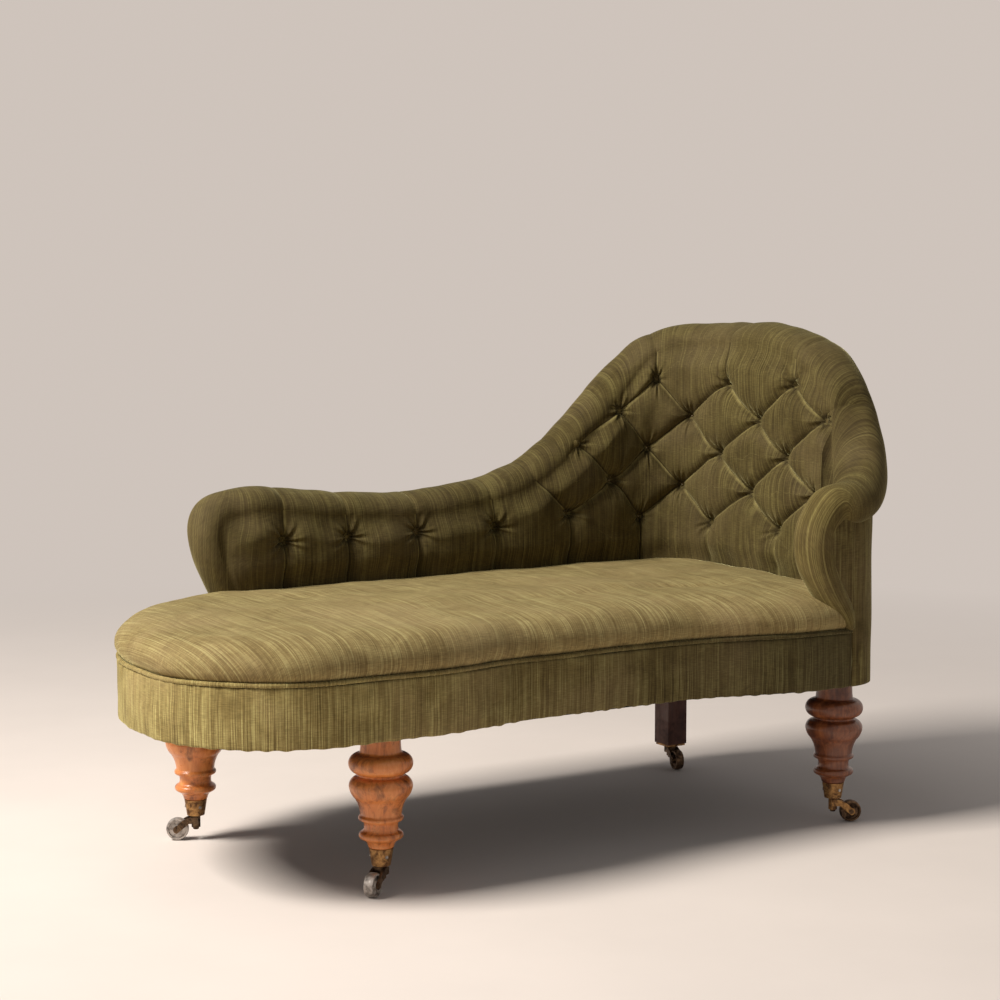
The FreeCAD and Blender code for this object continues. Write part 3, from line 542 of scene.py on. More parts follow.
@dataclass(frozen=True)
class Velvet:
    """Ribbed, striped velvet with a worn pile.

    Fine streaks and broader bands run along one direction; the pile lies unevenly, so patches
    are paler; the sheen brightens at grazing angles. Patterns are sized by how often they repeat
    in a metre across and along the stripes.
    """

    name: str
    dark: Triple = (0.030, 0.020, 0.006)
    middle: Triple = (0.098, 0.068, 0.021)
    pale: Triple = (0.270, 0.225, 0.080)
    worn: Triple = (0.190, 0.130, 0.060)
    # Colour of the painted highlight along the lit lower side of each fold.
    lip_highlight: Triple = (0.300, 0.245, 0.090)
    sheen: float = 0.45
    wear: float = 0.45
    # Turns on the painted highlights below the folds, the painted shade in folds and pits, and the paler arm
    # end.
    painted_fold_light_and_shade: bool = False
    # Strength of the painted light at the foot end and the painted shade at the head end.
    painted_end_light_and_shade: float = 0.0
    streaks: Triple = (620.0, 6.0, 6.0)
    bands: Triple = (170.0, 2.0, 2.0)
    threads: Triple = (260.0, 3.0, 3.0)
    ribs: Triple = (70.0, 620.0, 620.0)
    patches: float = 6.0
    brushing: float = 16.0
    streak_share: float = 0.74
    brushed_share: float = 0.30
    thread_share: float = 0.55
    # Ranges of x over which the painted light at the foot end and the painted shade at the head end change.
    foot_painted_light: tuple[float, float] = (-0.58, -0.15)
    head_shade: tuple[float, float] = (-0.10, 0.45)
    # Arm's end paler: partly wear, partly painted sheen where the light falls on it.
    arm_wear_and_sheen: float = 1.55
    # Width, edge and patchiness of the painted highlight below each fold.
    lip_highlight_width: float = 0.0052
    lip_highlight_edge: float = 0.0006
    lip_highlight_patches: float = 38.0
    # Edges of the painted shade above each fold and in each button's pit.
    fold_edge: tuple[float, float] = (-0.0002, 0.0004)
    fold_shade: float = 0.0040
    button_edge: tuple[float, float] = (0.0060, 0.0085)
    pit_edge: float = 0.0150
    sheen_tint: Triple = (0.80, 0.72, 0.34)

    def build(self) -> Material:
        """The velvet's node material.

        Returns:
            The finished material.
        """
        n = Nodes(self.name)
        place = n.coordinates(own_map=True)
        streak = n.noise(n.mapped(place, self.streaks), 1.0, 2.0, 0.7)
        patch = n.noise(n.coordinates(own_map=False), self.patches, 4.0, 0.6, 0.4)
        brushed = n.noise(n.coordinates(own_map=False), self.brushing, 3.0, 0.6, 1.0)
        rib = n.noise(n.mapped(place, self.ribs), 1.0, 2.0, 0.6)
        colour = self._striped(n, place, streak, brushed)
        worn = n.spread(patch, 0.45, 0.72, 0.0, self.wear)
        colour = n.mix(worn, colour, self.worn)
        flecks = n.spread(rib, 0.30, 0.70, 0.76, 1.16)
        colour = n.mix(1.0, colour, self.grey(n, flecks), "MULTIPLY")
        # Painted light toward the foot end and painted shade toward the head end.
        if self.painted_end_light_and_shade > 0.0:
            colour = self._painted_end_light_and_shade(n, colour)
        # Painted highlights below the folds and painted shade in folds and pits.
        if self.painted_fold_light_and_shade:
            colour = self._painted_fold_light_and_shade(n, colour)
        n.link(colour, n.shader.inputs["Base Color"])
        n.link(n.spread(patch, 0.3, 0.7, 0.95, 0.75), n.shader.inputs["Roughness"])
        n.set(Sheen_Weight=self.sheen, Sheen_Roughness=0.32, Sheen_Tint=(*self.sheen_tint, 1.0))
        n.set(Specular_IOR_Level=0.15)
        n.bump(streak, 0.0008, 0.7)
        n.bump(rib, 0.0005, 0.6)
        n.bump(brushed, 0.004, 0.5)
        return n.material

    def _striped(self, n: Nodes, place: Socket, streak: Socket, brushed: Socket) -> Socket:
        """Colour of the stripes: streaks, broader bands and single pale threads.

        Args:
            n: nodes of the material.
            place: coordinates along the cloth.
            streak: noise of the fine streaks.
            brushed: noise of the pile's lie.

        Returns:
            Socket of the colour.
        """
        band = n.noise(n.mapped(place, self.bands, move=(3.0, 1.0, 0.0)), 1.0, 2.0, 0.5)
        thread = n.noise(n.mapped(place, self.threads, move=(9.0, 2.0, 0.0)), 1.0, 1.0, 0.5)
        fine = n.math("MULTIPLY", streak, self.streak_share)
        broad = n.math("MULTIPLY", band, 1.0 - self.streak_share)
        lain = n.math("MULTIPLY", n.math("SUBTRACT", brushed, 0.5), self.brushed_share)
        mixed = n.math("ADD", n.math("ADD", fine, broad), lain)
        colour = n.ramp(mixed, [(0.30, self.dark), (0.50, self.middle), (0.72, self.pale)])
        return n.mix(n.spread(thread, 0.60, 0.70, 0.0, self.thread_share), colour, self.pale)

    def _painted_end_light_and_shade(self, n: Nodes, colour: Socket) -> Socket:
        """Colour with painted light toward the foot end and painted shade toward the head end.

        Args:
            n: nodes of the material.
            colour: plain colour of the cloth.

        Returns:
            Socket of the changed colour.
        """
        place = n.tree.nodes.new("ShaderNodeSeparateXYZ")
        n.link(n.coordinates(own_map=False), place.inputs[0])
        # Painted light at the foot end, painted shade at the head end.
        foot = n.spread(place.outputs["X"], *self.foot_painted_light, 1.0 + self.painted_end_light_and_shade, 1.0)
        head = n.spread(place.outputs["X"], *self.head_shade, 1.0, 1.0 - self.painted_end_light_and_shade)
        return n.mix(1.0, colour, self.grey(n, n.math("MULTIPLY", foot, head)), "MULTIPLY")

    def _painted_fold_light_and_shade(self, n: Nodes, colour: Socket) -> Socket:
        """Colour with a painted highlight along the lower side of each fold and painted shade in folds and
        pits; the arm's end is paler, partly wear and partly painted sheen.

        Args:
            n: nodes of the material.
            colour: plain colour of the cloth.

        Returns:
            Colour changed by the piece's own distances to folds and buttons.
        """
        kept = n.tree.nodes.new("ShaderNodeAttribute")
        kept.attribute_name = "fold"
        parts = n.tree.nodes.new("ShaderNodeSeparateXYZ")
        n.link(kept.outputs["Vector"], parts.inputs[0])
        signed, button, arm = parts.outputs["X"], parts.outputs["Y"], parts.outputs["Z"]
        # Arm's end paler: partly wear, partly painted sheen.
        paler = self.grey(n, n.spread(arm, 0.0, 1.0, 1.0, self.arm_wear_and_sheen))
        colour = n.mix(1.0, colour, paler, "MULTIPLY")
        start, edge = self.fold_edge
        # Painted highlight along the lit lower side of each fold, in patches.
        uneven = n.noise(n.coordinates(own_map=False), self.lip_highlight_patches, 2.0)
        inside = n.spread(signed, -self.lip_highlight_width, -self.lip_highlight_edge, 0.0, 1.0)
        below = n.spread(signed, -self.lip_highlight_edge, edge, 1.0, 0.0)
        patchy = n.spread(uneven, 0.35, 0.65, 0.15, 0.8)
        lip_highlight = n.math("MULTIPLY", n.math("MULTIPLY", inside, below), patchy)
        colour = n.mix(lip_highlight, colour, self.lip_highlight)
        # Painted shade above each fold and in each button's pit, in the cloth's dark colour.
        above = n.spread(signed, start, edge, 0.0, 1.0)
        dark = n.math("MULTIPLY", n.spread(signed, edge, self.fold_shade, 0.9, 0.0), above)
        pit = n.spread(button, self.button_edge[1], self.pit_edge, 0.85, 0.0)
        rim = n.spread(button, *self.button_edge, 0.0, 1.0)
        return n.mix(n.math("MAXIMUM", dark, n.math("MULTIPLY", pit, rim)), colour, self.dark)

    @staticmethod
    def grey(n: Nodes, value: Socket) -> Socket:
        """A number as a grey colour.

        Args:
            n: nodes of the material.
            value: the number.

        Returns:
            Socket of the colour.
        """
        node = n.tree.nodes.new("ShaderNodeCombineColor")
        for key in ("Red", "Green", "Blue"):
            n.link(value, node.inputs[key])
        return node.outputs["Color"]


@dataclass(frozen=True)
class PolishedWood:
    """Old French-polished wood: grain along the height, dark smudges and a worn gloss."""

    name: str
    dark: Triple = (0.070, 0.016, 0.005)
    middle: Triple = (0.600, 0.180, 0.035)
    pale: Triple = (0.760, 0.300, 0.085)
    roughness: float = 0.34
    coat: float = 0.35

    def build(self) -> Material:
        """The wood's node material.

        Returns:
            The finished material.
        """
        n = Nodes(self.name)
        place = n.coordinates(own_map=False)
        grain = n.noise(n.mapped(place, (160.0, 160.0, 14.0)), 1.0, 4.0, 0.6, 0.6)
        figure = n.noise(n.mapped(place, (26.0, 26.0, 9.0)), 1.0, 3.0, 0.55, 0.8)
        smudge = n.noise(place, 34.0, 5.0, 0.65, 0.5)
        mixed = n.math("ADD", n.math("MULTIPLY", grain, 0.45), n.math("MULTIPLY", figure, 0.55))
        colour = n.ramp(mixed, [(0.30, self.dark), (0.48, self.middle), (0.68, self.pale)])
        dirt = n.spread(smudge, 0.52, 0.68, 0.0, 0.72)
        colour = n.mix(dirt, colour, self.dark)
        n.link(colour, n.shader.inputs["Base Color"])
        dullness = n.spread(smudge, 0.3, 0.7, self.roughness - 0.08, self.roughness + 0.22)
        n.link(dullness, n.shader.inputs["Roughness"])
        n.set(Coat_Weight=self.coat, Coat_Roughness=0.18, Specular_IOR_Level=0.45)
        n.bump(grain, 0.0005, 0.6)
        n.bump(smudge, 0.0012, 0.35)
        return n.material


@dataclass(frozen=True)
class AgedMetal:
    """Tarnished metal: bright where rubbed, dark and dull in the hollows."""

    name: str
    bright: Triple = (0.62, 0.42, 0.17)
    dull: Triple = (0.16, 0.09, 0.035)
    metallic: float = 1.0
    roughness: float = 0.38
    tarnish: float = 0.5

    def build(self) -> Material:
        """The metal's node material.

        Returns:
            The finished material.
        """
        n = Nodes(self.name)
        place = n.coordinates(own_map=False)
        stain = n.noise(place, 95.0, 5.0, 0.65, 0.4)
        scratch = n.noise(n.mapped(place, (260.0, 260.0, 900.0)), 1.0, 3.0, 0.6)
        middle = 0.35 + 0.3 * self.tarnish
        colour = n.ramp(stain, [(middle - 0.12, self.bright), (middle + 0.12, self.dull)])
        n.link(colour, n.shader.inputs["Base Color"])
        dullness = n.spread(stain, 0.3, 0.7, self.roughness, min(self.roughness + 0.3, 0.9))
        n.link(dullness, n.shader.inputs["Roughness"])
        n.set(Metallic=self.metallic)
        n.bump(scratch, 0.00025, 0.5)
        n.bump(stain, 0.0006, 0.5)
        return n.material


@dataclass(frozen=True)
class WovenCloth:
    """Plain woven cloth, such as hessian, webbing and the black cloth under the seat."""

    name: str
    dark: Triple
    pale: Triple
    threads: float = 700.0

    def build(self) -> Material:
        """Two crossed sets of threads, by the object's own place.

        Returns:
            The finished material.
        """
        n = Nodes(self.name)
        place = n.coordinates(own_map=False)
        one = n.noise(n.mapped(place, (self.threads, 14.0, 14.0)), 1.0, 1.0)
        other = n.noise(n.mapped(place, (14.0, self.threads, self.threads)), 1.0, 1.0)
        both = n.math("MAXIMUM", one, other)
        n.link(n.ramp(both, [(0.45, self.dark), (0.65, self.pale)]), n.shader.inputs["Base Color"])
        n.link(n.spread(both, 0.4, 0.7, 0.95, 0.8), n.shader.inputs["Roughness"])
        n.set(Specular_IOR_Level=0.2)
        n.bump(both, 0.0004, 0.8)
        return n.material


# The back's plan, rolled edge and buttoning


@dataclass
class BackForm:
    """Shared form of the stuffed back: its plan line, its rolled edge and its buttons."""

    start_x: float = -363.0
    rear_y: float = 313.0
    head_rear_x: float = 636.5
    head_front_x: float = 601.5
    arm_y: float = -313.0
    arm_end_x: float = 525.0
    corner_radius: float = 178.0
    arm_radius: float = 80.0
    roll_radius: float = 38.0
    low_z: float = 562.0
    crown_z: float = 868.0
    arm_z: float = 600.0
    body_start: float = 20.0
    puff_depth: float = 75.0
    low_places: tuple[float, ...] = (98.0, 224.0, 367.0, 531.0)
    head_places: tuple[float, ...] = (717.0, 806.0, 897.0, 1004.0, 1129.0, 1243.0, 1335.0, 1436.0, 1530.0)
    row_first_z: float = 495.0
    row_pitch: float = 66.0
    rows: int = 5
    low_row_z: float = 491.0
    row_lean: float = 0.115
    row_sag: float = 5.0
    row_lift: float = 1.1
    middle_column: float = 12.0
    row_margin: float = 36.0

    def __post_init__(self) -> None:
        """Works out the line, the rolled edge's height and the button places."""
        self.line = RoundedLine(
            [
                (self.start_x, self.rear_y, 0.0),
                (self.head_rear_x, self.rear_y, self.corner_radius),
                (self.head_front_x, self.arm_y, self.arm_radius),
                (self.arm_end_x, self.arm_y, 0.0),
            ],
            closed=False,
        )
        _, s1, s2, s3, _, s5 = self.line.marks
        self.s1, self.s2, self.s3, self.s5 = float(s1), float(s2), float(s3), float(s5)
        low, crown, arm = self.low_z, self.crown_z, self.arm_z
        self.height = Monotone(
            [
                (0.0, low + 14.0),
                (0.065 * s1, low + 24.0),
                (0.25 * s1, low + 8.0),
                (0.44 * s1, low),
                (0.63 * s1, low + 16.0),
                (0.75 * s1, low + 44.0),
                (0.875 * s1, low + 114.0),
                (s1, low + 210.0),
                (s1 + 0.29 * (s2 - s1), crown - 28.0),
                (s1 + 0.62 * (s2 - s1), crown - 4.0),
                (s2 + 0.29 * (s3 - s2), crown),
                (s2 + 0.66 * (s3 - s2), crown - 19.0),
                (s2 + 0.85 * (s3 - s2), crown - 46.0),
                (s3, crown - 96.0),
                (s3 + 0.42 * (s5 - s3), arm + 74.0),
                (s3 + 0.70 * (s5 - s3), arm + 25.0),
                (s5, arm),
            ]
        )
        self.columns = self._column_knots()
        self.buttons = self._button_places()

    def _column_knots(self) -> Array:
        """Rows of (column number, arc length) at the middle row.

        Returns:
            One row for each column, with one before the first.
        """
        knots = [(2.0 * i, s) for i, s in enumerate(self.low_places)]
        knots += [(2.0 * len(self.low_places) + i, s) for i, s in enumerate(self.head_places)]
        gap = knots[1][1] - knots[0][1]
        return np.array([(-2.0, knots[0][1] - gap)] + knots)

    def head_share(self, c: Array) -> Array:
        """0 along the low back and 1 where the diamonds begin."""
        first = 2.0 * len(self.low_places)
        return np.clip(0.5 * (c - first + 2.0), 0.0, 1.0)

    def button_at(self, c: float, row: int) -> tuple[float, float]:
        """Arc length and height of the button in column c and row.

        Args:
            c: column number; even along the low back.
            row: row number, 1 just above the seat.

        Returns:
            Arc length and height in millimetres.
        """
        share = float(self.head_share(np.array(c)))
        lean = self.row_lean * (row - 3.0) * share
        s = float(np.interp(c + lean, self.columns[:, 0], self.columns[:, 1]))
        sag = self.row_sag - self.row_lift * (c - self.middle_column) ** 2
        z = self.row_first_z + (row - 1.0) * self.row_pitch - sag
        return s, self.low_row_z + share * (z - self.low_row_z)

    def _button_places(self) -> list[tuple[float, int, float, float]]:
        """Every button as (column, row, arc length, height).

        Returns:
            One entry for each button.
        """
        found = []
        for i in range(len(self.low_places)):
            s, z = self.button_at(2.0 * i, 1)
            found.append((2.0 * i, 1, s, z))
        first = 2 * len(self.low_places)
        for c in range(first, first + len(self.head_places) - 1):
            for row in range(1, self.rows + 1):
                s, z = self.button_at(float(c), row)
                if (c + row) % 2 == 1 and z < float(self.height(np.array(s))) - self.row_margin:
                    found.append((float(c), row, s, z))
        return found

    def roll_centre(self, t: Array) -> tuple[Array, Array]:
        """Centre line of the rolled edge under the top outline at arc length t.

        The centre lies one roll radius from the outline, square to the outline's slope.

        Args:
            t: arc lengths of the outline.

        Returns:
            Arc length and height of the centre.
        """
        step = 2.0
        slope = (self.height(t + step) - self.height(t - step)) / (2.0 * step)
        cos = 1.0 / np.sqrt(1.0 + slope**2)
        return t + self.roll_radius * slope * cos, self.height(t) - self.roll_radius * cos


# The back's cover: skirt, rolled edge and both rounded ends in one surface


@dataclass
class StuffedBack:
    """Stuffed and buttoned back in one cover.

    Closed sections stand along the rolled edge's centre line. Each climbs the inner face from
    the seat, goes over the roll, tucks in behind and comes back down inside. At both ends the
    centre line turns down, so that the roll runs out in a rounded upright end.
    """

    form: BackForm = field(default_factory=BackForm)
    step: float = 2.5
    ease_length: float = 12.0
    base_z: float = 337.5
    seat_line_z: float = 400.0
    hidden_rows: int = 6
    face_rows: int = 150
    roll_rows: int = 56
    inner_rows: int = 7
    tuck_angle: float = 245.0
    end_angle: float = 238.0
    inside_offset: float = -8.0
    face_ease: float = 50.0
    seat_offset: float = 64.0
    end_offset: float = 56.0
    roll_fullness: float = 17.0
    puff_width: float = 36.0
    low_puff_width: float = 60.0
    roll_puff_extra: float = 8.0
    swell_rise: tuple[float, float] = (412.0, 45.0)
    bare_rise: tuple[float, float] = (425.0, 50.0)
    bare_arm: tuple[float, float] = (1450.0, 90.0)
    bare_end: tuple[float, float] = (70.0, 110.0)
    shallow_end: tuple[float, float] = (60.0, 60.0)
    shallow_share: float = 0.35
    diamonds_from: tuple[float, float] = (560.0, 130.0)
    diamonds_up: tuple[float, float] = (440.0, 50.0)
    pinch_from: tuple[float, float] = (378.0, 25.0)
    pinch_ease: float = 55.0
    fold_share: float = 0.30
    fold_width: float = 6.0
    pit_width: float = 11.5
    cushion_share: float = 0.15
    pit_depth: float = 37.0
    roll_pleat: float = 9.0
    pleat_fade: tuple[float, float] = (0.9, 1.7)
    pucker: float = 3.3
    pucker_reach: float = 26.0
    pucker_start: float = 7.0
    lump: float = 1.3
    lump_ease: float = 30.0
    roll_lump: float = 0.9
    hidden_share: tuple[float, float] = (0.1, 0.4)
    end_hidden_share: float = 0.12
    left_roll_share: float = 0.25
    heel_share: float = 0.9
    fold_reach: float = 12.0
    button_reach: float = 60.0
    left_end: tuple[tuple[float, float, float, float], ...] = (
        (28.0, -27.0, 345.0, 22.0),
        (14.0, -26.5, 380.0, 27.0),
        (3.2, -26.0, 405.0, 30.0),
        (-6.3, -25.0, 426.0, 31.0),
        (-14.8, -23.0, 448.0, 32.5),
        (-22.6, -20.0, 470.0, 34.0),
        (-26.0, -16.0, 491.0, 35.5),
        (-25.0, -11.0, 514.0, 36.5),
        (-12.0, -3.0, 537.0, 38.0),
    )
    left_pivot_s: float = 58.0
    left_spread: float = 170.0
    arm_end: tuple[tuple[float, float, float, float], ...] = (
        (28.0, -17.0, 560.0, 37.0),
        (52.0, -21.0, 525.0, 36.0),
        (57.0, -21.0, 490.0, 36.0),
        (50.0, -18.0, 450.0, 34.0),
        (33.0, -9.0, 410.0, 29.0),
        (9.0, 4.0, 370.0, 19.0),
        (0.0, 7.0, 345.0, 9.0),
    )
    arm_pivot_ahead: float = 2.0
    pivot_z: float = 345.0
    arm_run: float = 30.0
    up_pleats: tuple[tuple[float, int, float], ...] = (
        (0.0, 1, 0.0),
        (2.0, 1, 0.0),
        (4.0, 1, 0.0),
        (6.0, 1, -4.0),
        (8.0, 1, -70.0),
        (8.0, 3, -18.0),
        (9.0, 4, -16.0),
        (10.0, 5, 0.0),
        (12.0, 5, 0.0),
        (14.0, 5, 0.0),
        (15.0, 4, 6.0),
    )

    def __post_init__(self) -> None:
        """Lays out the centre line, the sections and the pleats."""
        self._lay_centre()
        self._lay_pleats()

    def _lay_centre(self) -> None:
        """Centre line as evenly stepped arrays of s, offset, height and radius."""
        form = self.form
        t = np.arange(form.body_start + 2.0, form.s5 - 3.0, 4.0)
        s, z = form.roll_centre(t)
        main = np.stack([s, np.zeros_like(s), z, np.full_like(s, form.roll_radius)], -1)
        arm = np.array(self.arm_end) + np.array([form.s5, 0.0, 0.0, 0.0])
        knots = np.concatenate([np.array(self.left_end), main, arm])
        run = np.concatenate([[0.0], np.cumsum(np.linalg.norm(np.diff(knots[:, :3], axis=0), axis=1))])
        count = int(run[-1] / self.step)
        self.along = np.linspace(0.0, run[-1], count)
        line = np.stack([np.interp(self.along, run, knots[:, i]) for i in range(4)], -1)
        line = self._softened(line, self.ease_length / (run[-1] / (count - 1)))
        self.centre = line
        heading = unit(np.gradient(line[:, [0, 2]], axis=0))
        self.up = np.stack([-heading[:, 1], heading[:, 0]], -1)
        first = run[len(self.left_end)]
        last = run[len(self.left_end) + len(main) - 1]
        self.in_left = fall(self.along, first + 30.0, 60.0)
        self.in_arm = rise(self.along, last - 10.0, 50.0)

    @staticmethod
    def _softened(line: Array, spread: float) -> Array:
        """Columns of an array blurred by a bell curve, its ends held by mirrored repeats.

        Args:
            line: one row for each place.
            spread: width of the bell curve, in places.

        Returns:
            The array, blurred down its columns.
        """
        reach = int(4 * spread)
        bell = np.exp(-0.5 * (np.arange(-reach, reach + 1) / spread) ** 2)
        bell /= bell.sum()
        before = 2.0 * line[0] - line[reach:0:-1]
        after = 2.0 * line[-1] - line[-2 : -reach - 2 : -1]
        padded = np.concatenate([before, line, after])
        return np.stack([np.convolve(padded[:, i], bell, mode="valid") for i in range(line.shape[1])], -1)

    def _lay_pleats(self) -> None:
        """Folds as segments in arc length and height, and the places where they cross the roll."""
        places = {(c, row): (s, z) for c, row, s, z in self.form.buttons}
        folds = []
        for (c, row), (s, z) in places.items():
            for step in (-1, 1):
                other = places.get((c + 1.0, row + step))
                if other is not None:
                    folds.append((s, z, *other))
            if row == 1:
                folds.append((s, z, s, self.seat_line_z - 10.0))
        crossings = []
        for c, row, shift in self.up_pleats:
            s, z = places[(c, row)]
            body = (self.in_left < 0.5) & (self.in_arm < 0.5)
            gap = np.where(body, np.abs(self.centre[:, 0] - s - shift), 1e9)
            i = int(np.argmin(gap))
            folds.append((s, z, float(self.centre[i, 0]), float(self.centre[i, 2])))
            crossings.append(float(self.along[i]))
        self.folds = np.array(folds)
        self.crossings = np.array(crossings)
        self.places = np.array(list(places.values()))

    def gaps(self, s: Array, z: Array) -> tuple[Array, Array, Array]:
        """Distances from points of the face to the nearest fold and button.

        Args:
            s, z: arc length and height of the points.

        Returns:
            Distance to the nearest fold, distance to the nearest button and the bearing from it.
        """
        fold = np.abs(self.signed_fold(s, z))
        button = np.full(s.shape, 1e9)
        bearing = np.zeros(s.shape)
        for s0, z0 in self.places:
            gap = np.hypot(s - s0, z - z0)
            bearing = np.where(gap < button, np.arctan2(z - z0, s - s0), bearing)
            button = np.minimum(button, gap)
        return fold, button, bearing

    def signed_fold(self, s: Array, z: Array) -> Array:
        """Distance to the nearest fold, positive above it and negative below.

        Args:
            s, z: arc length and height of the points.

        Returns:
            Distances in millimetres.
        """
        nearest = np.full(s.shape, 1e9)
        for s0, z0, s1, z1 in self.folds:
            ds, dz = s1 - s0, z1 - z0
            w = np.clip(((s - s0) * ds + (z - z0) * dz) / max(ds * ds + dz * dz, 1e-6), 0.0, 1.0)
            gap = np.hypot(s - s0 - w * ds, z - z0 - w * dz)
            above = ((z - z0) * ds - (s - s0) * dz) * (1.0 if ds >= 0.0 else -1.0)
            nearest = np.where(gap < np.abs(nearest), np.where(above < 0.0, -gap, gap), nearest)
        return nearest

    def puff(self, fold: Array, button: Array, width: Array) -> Array:
        """Share of full height: 0 at a button, low along a fold, 1 on the crown of a puff.

        Folds and pits are sharp valleys that die away with distance as an exponential, and the
        puff between them is rounded by a quarter sine across its width.

        Args:
            fold, button: distances to the nearest fold and the nearest button.
            width: from a fold to the top of a puff.

        Returns:
            Shares from 0 to 1.
        """
        valley = 1.0 - self.fold_share * np.exp(-fold / self.fold_width)
        pit = 1.0 - np.exp(-button / self.pit_width)
        cushion = 1.0 - self.cushion_share * (1.0 - np.sin(0.5 * np.pi * np.clip(fold / width, 0.0, 1.0)))
        return valley * pit * cushion

    def pinch(self, gap: Array) -> Array:
        """How deep the stuffing is drawn in, by the distance below the roll."""
        return self.roll_pleat + (self.pit_depth - self.roll_pleat) * smooth(gap / self.pinch_ease)

    def _stuffing(self, s: Array, z: Array, arm: Array) -> Array:
        """Offset of the unbuttoned stuffing from the back's line.

        The buttoned part swells above the seat; both rounded ends stay slimmer.

        Args:
            s, z: arc length and height of the points.
            arm: share of the arm's rounded end.

        Returns:
            Offsets in millimetres, negative towards the seat.
        """
        swell = self.form.puff_depth - self.seat_offset
        full = -(self.seat_offset + swell * rise(z, *self.swell_rise))
        slim = -(self.seat_offset + (self.end_offset - self.seat_offset) * rise(z, *self.bare_rise))
        bare = np.maximum(np.maximum(arm, rise(s, *self.bare_arm)), fall(s, *self.bare_end))
        return full + (slim - full) * bare

    def face_offset(self, s: Array, z: Array, top: Array, tangent: Array, arm: Array) -> Array:
        """Offset of the inner face from the back's line, folds and buttons drawn in.

        Args:
            s, z: arc length and height of the points.
            top: distance to the roll's centre line.
            tangent: offset at which the roll begins.
            arm: share of the arm's rounded end.

        Returns:
            Offsets in millimetres, negative towards the seat.
        """
        plane = tangent + (self._stuffing(s, z, arm) - tangent) * smooth(top / self.face_ease)
        fold, button, bearing = self.gaps(s, z)
        deeper = 1.0 - fall(s, *self.shallow_end)
        share = rise(s, *self.diamonds_from) * rise(z, *self.diamonds_up)
        width = self.low_puff_width + (self.puff_width - self.low_puff_width) * share
        deep = self.pinch(top) * rise(z, *self.pinch_from)
        deep = deep * (self.shallow_share + (1.0 - self.shallow_share) * deeper)
        drawn = (1.0 - self.puff(fold, button, width)) * deep
        close = np.exp(-((button / self.pucker_reach) ** 2)) * np.clip(button / self.pucker_start, 0.0, 1.0)
        ray = self.pucker * (np.cos(9.0 * bearing) + 0.6 * np.cos(14.0 * bearing + 1.0)) * close
        lumps = waves(s * MM, z * MM, Draw.BACK_LUMPS, 9, 5.0, 16.0) * smooth(top / self.lump_ease)
        return plane + drawn + ray - self.lump * lumps

    def _foot(self) -> tuple[Array, Array]:
        """Arc length and height at which each section starts under the seat.

        Along the back a section starts below its place on the roll; toward the left end the
        starts close up, and at both rounded ends all sections share one.

        Returns:
            Arc lengths and heights, one row for each section.
        """
        s_c = self.centre[:, :1]
        left, arm = self.in_left[:, None], self.in_arm[:, None]
        pivot, start = self.left_pivot_s, self.form.body_start
        closing = (self.left_spread - pivot) / (self.left_spread - start)
        s = np.where(s_c < self.left_spread, pivot + (s_c - start) * closing, s_c)
        s = s + (pivot - s) * left
        s = s + (self.form.s5 + self.arm_pivot_ahead - s) * arm
        return s, self.base_z + (self.pivot_z - self.base_z) * np.maximum(left, arm)

    def _climb(self, foot_z: Array) -> Array:
        """Shares of the way from foot to roll at which a section has its points.

        Args:
            foot_z: height of each section's start.

        Returns:
            Shares from 0 to 1, coarse below the seat and fine above it.
        """
        ends = np.maximum(self.in_left, self.in_arm)[:, None]
        tall = np.maximum(self.centre[:, 2:3] - foot_z, 1.0)
        hidden = np.clip((self.seat_line_z - foot_z) / tall, *self.hidden_share)
        hidden = hidden + (self.end_hidden_share - hidden) * ends
        low = np.linspace(0.0, 1.0, self.hidden_rows, endpoint=False)[None, :]
        high = np.linspace(0.0, 1.0, self.face_rows)[None, :]
        return np.concatenate([low * hidden, hidden + (1.0 - hidden) * high], axis=1)

    def _roll(self, theta: Array, fullness: Array) -> tuple[Array, Array, Array]:
        """Points over the roll: a circle, fuller on the inner side, with pleats running out over it.

        Args:
            theta: angles from the inner face, in radians.
            fullness: extra depth of the inner side.

        Returns:
            Arc lengths, offsets and heights.
        """
        s_c, n_c, z_c, r_c = (self.centre[:, i][:, None] for i in range(4))
        ends = np.maximum(self.in_left, self.in_arm)[:, None]
        crossing = np.min(np.abs(self.along[:, None] - self.crossings[None, :]), axis=1)[:, None]
        fold, button, _ = self.gaps(s_c, z_c)
        turn_in = smooth(theta / np.radians(35.0))
        fold = fold + (crossing - fold) * turn_in
        button = button + (self.button_reach - button) * turn_in
        wider = self.puff_width + self.roll_puff_extra - self.low_puff_width
        width = self.low_puff_width + wider * rise(s_c, *self.diamonds_from)
        fading = self.roll_pleat * (1.0 - rise(theta, *self.pleat_fade))
        drawn = (1.0 - self.puff(fold, np.maximum(button, 0.0), width)) * fading * (1.0 - ends)
        lumps = self.roll_lump * waves(self.along[:, None] * MM, theta * 0.04, Draw.ROLL_LUMPS, 9, 6.0, 18.0)
        radius = r_c - drawn + lumps * np.sin(np.clip(theta, 0.0, np.pi))
        inward = np.cos(theta) * (radius + fullness * (np.cos(theta) > 0.0))
        upward = np.sin(theta) * radius
        return s_c + self.up[:, :1] * upward, n_c - inward, z_c + self.up[:, 1:] * upward

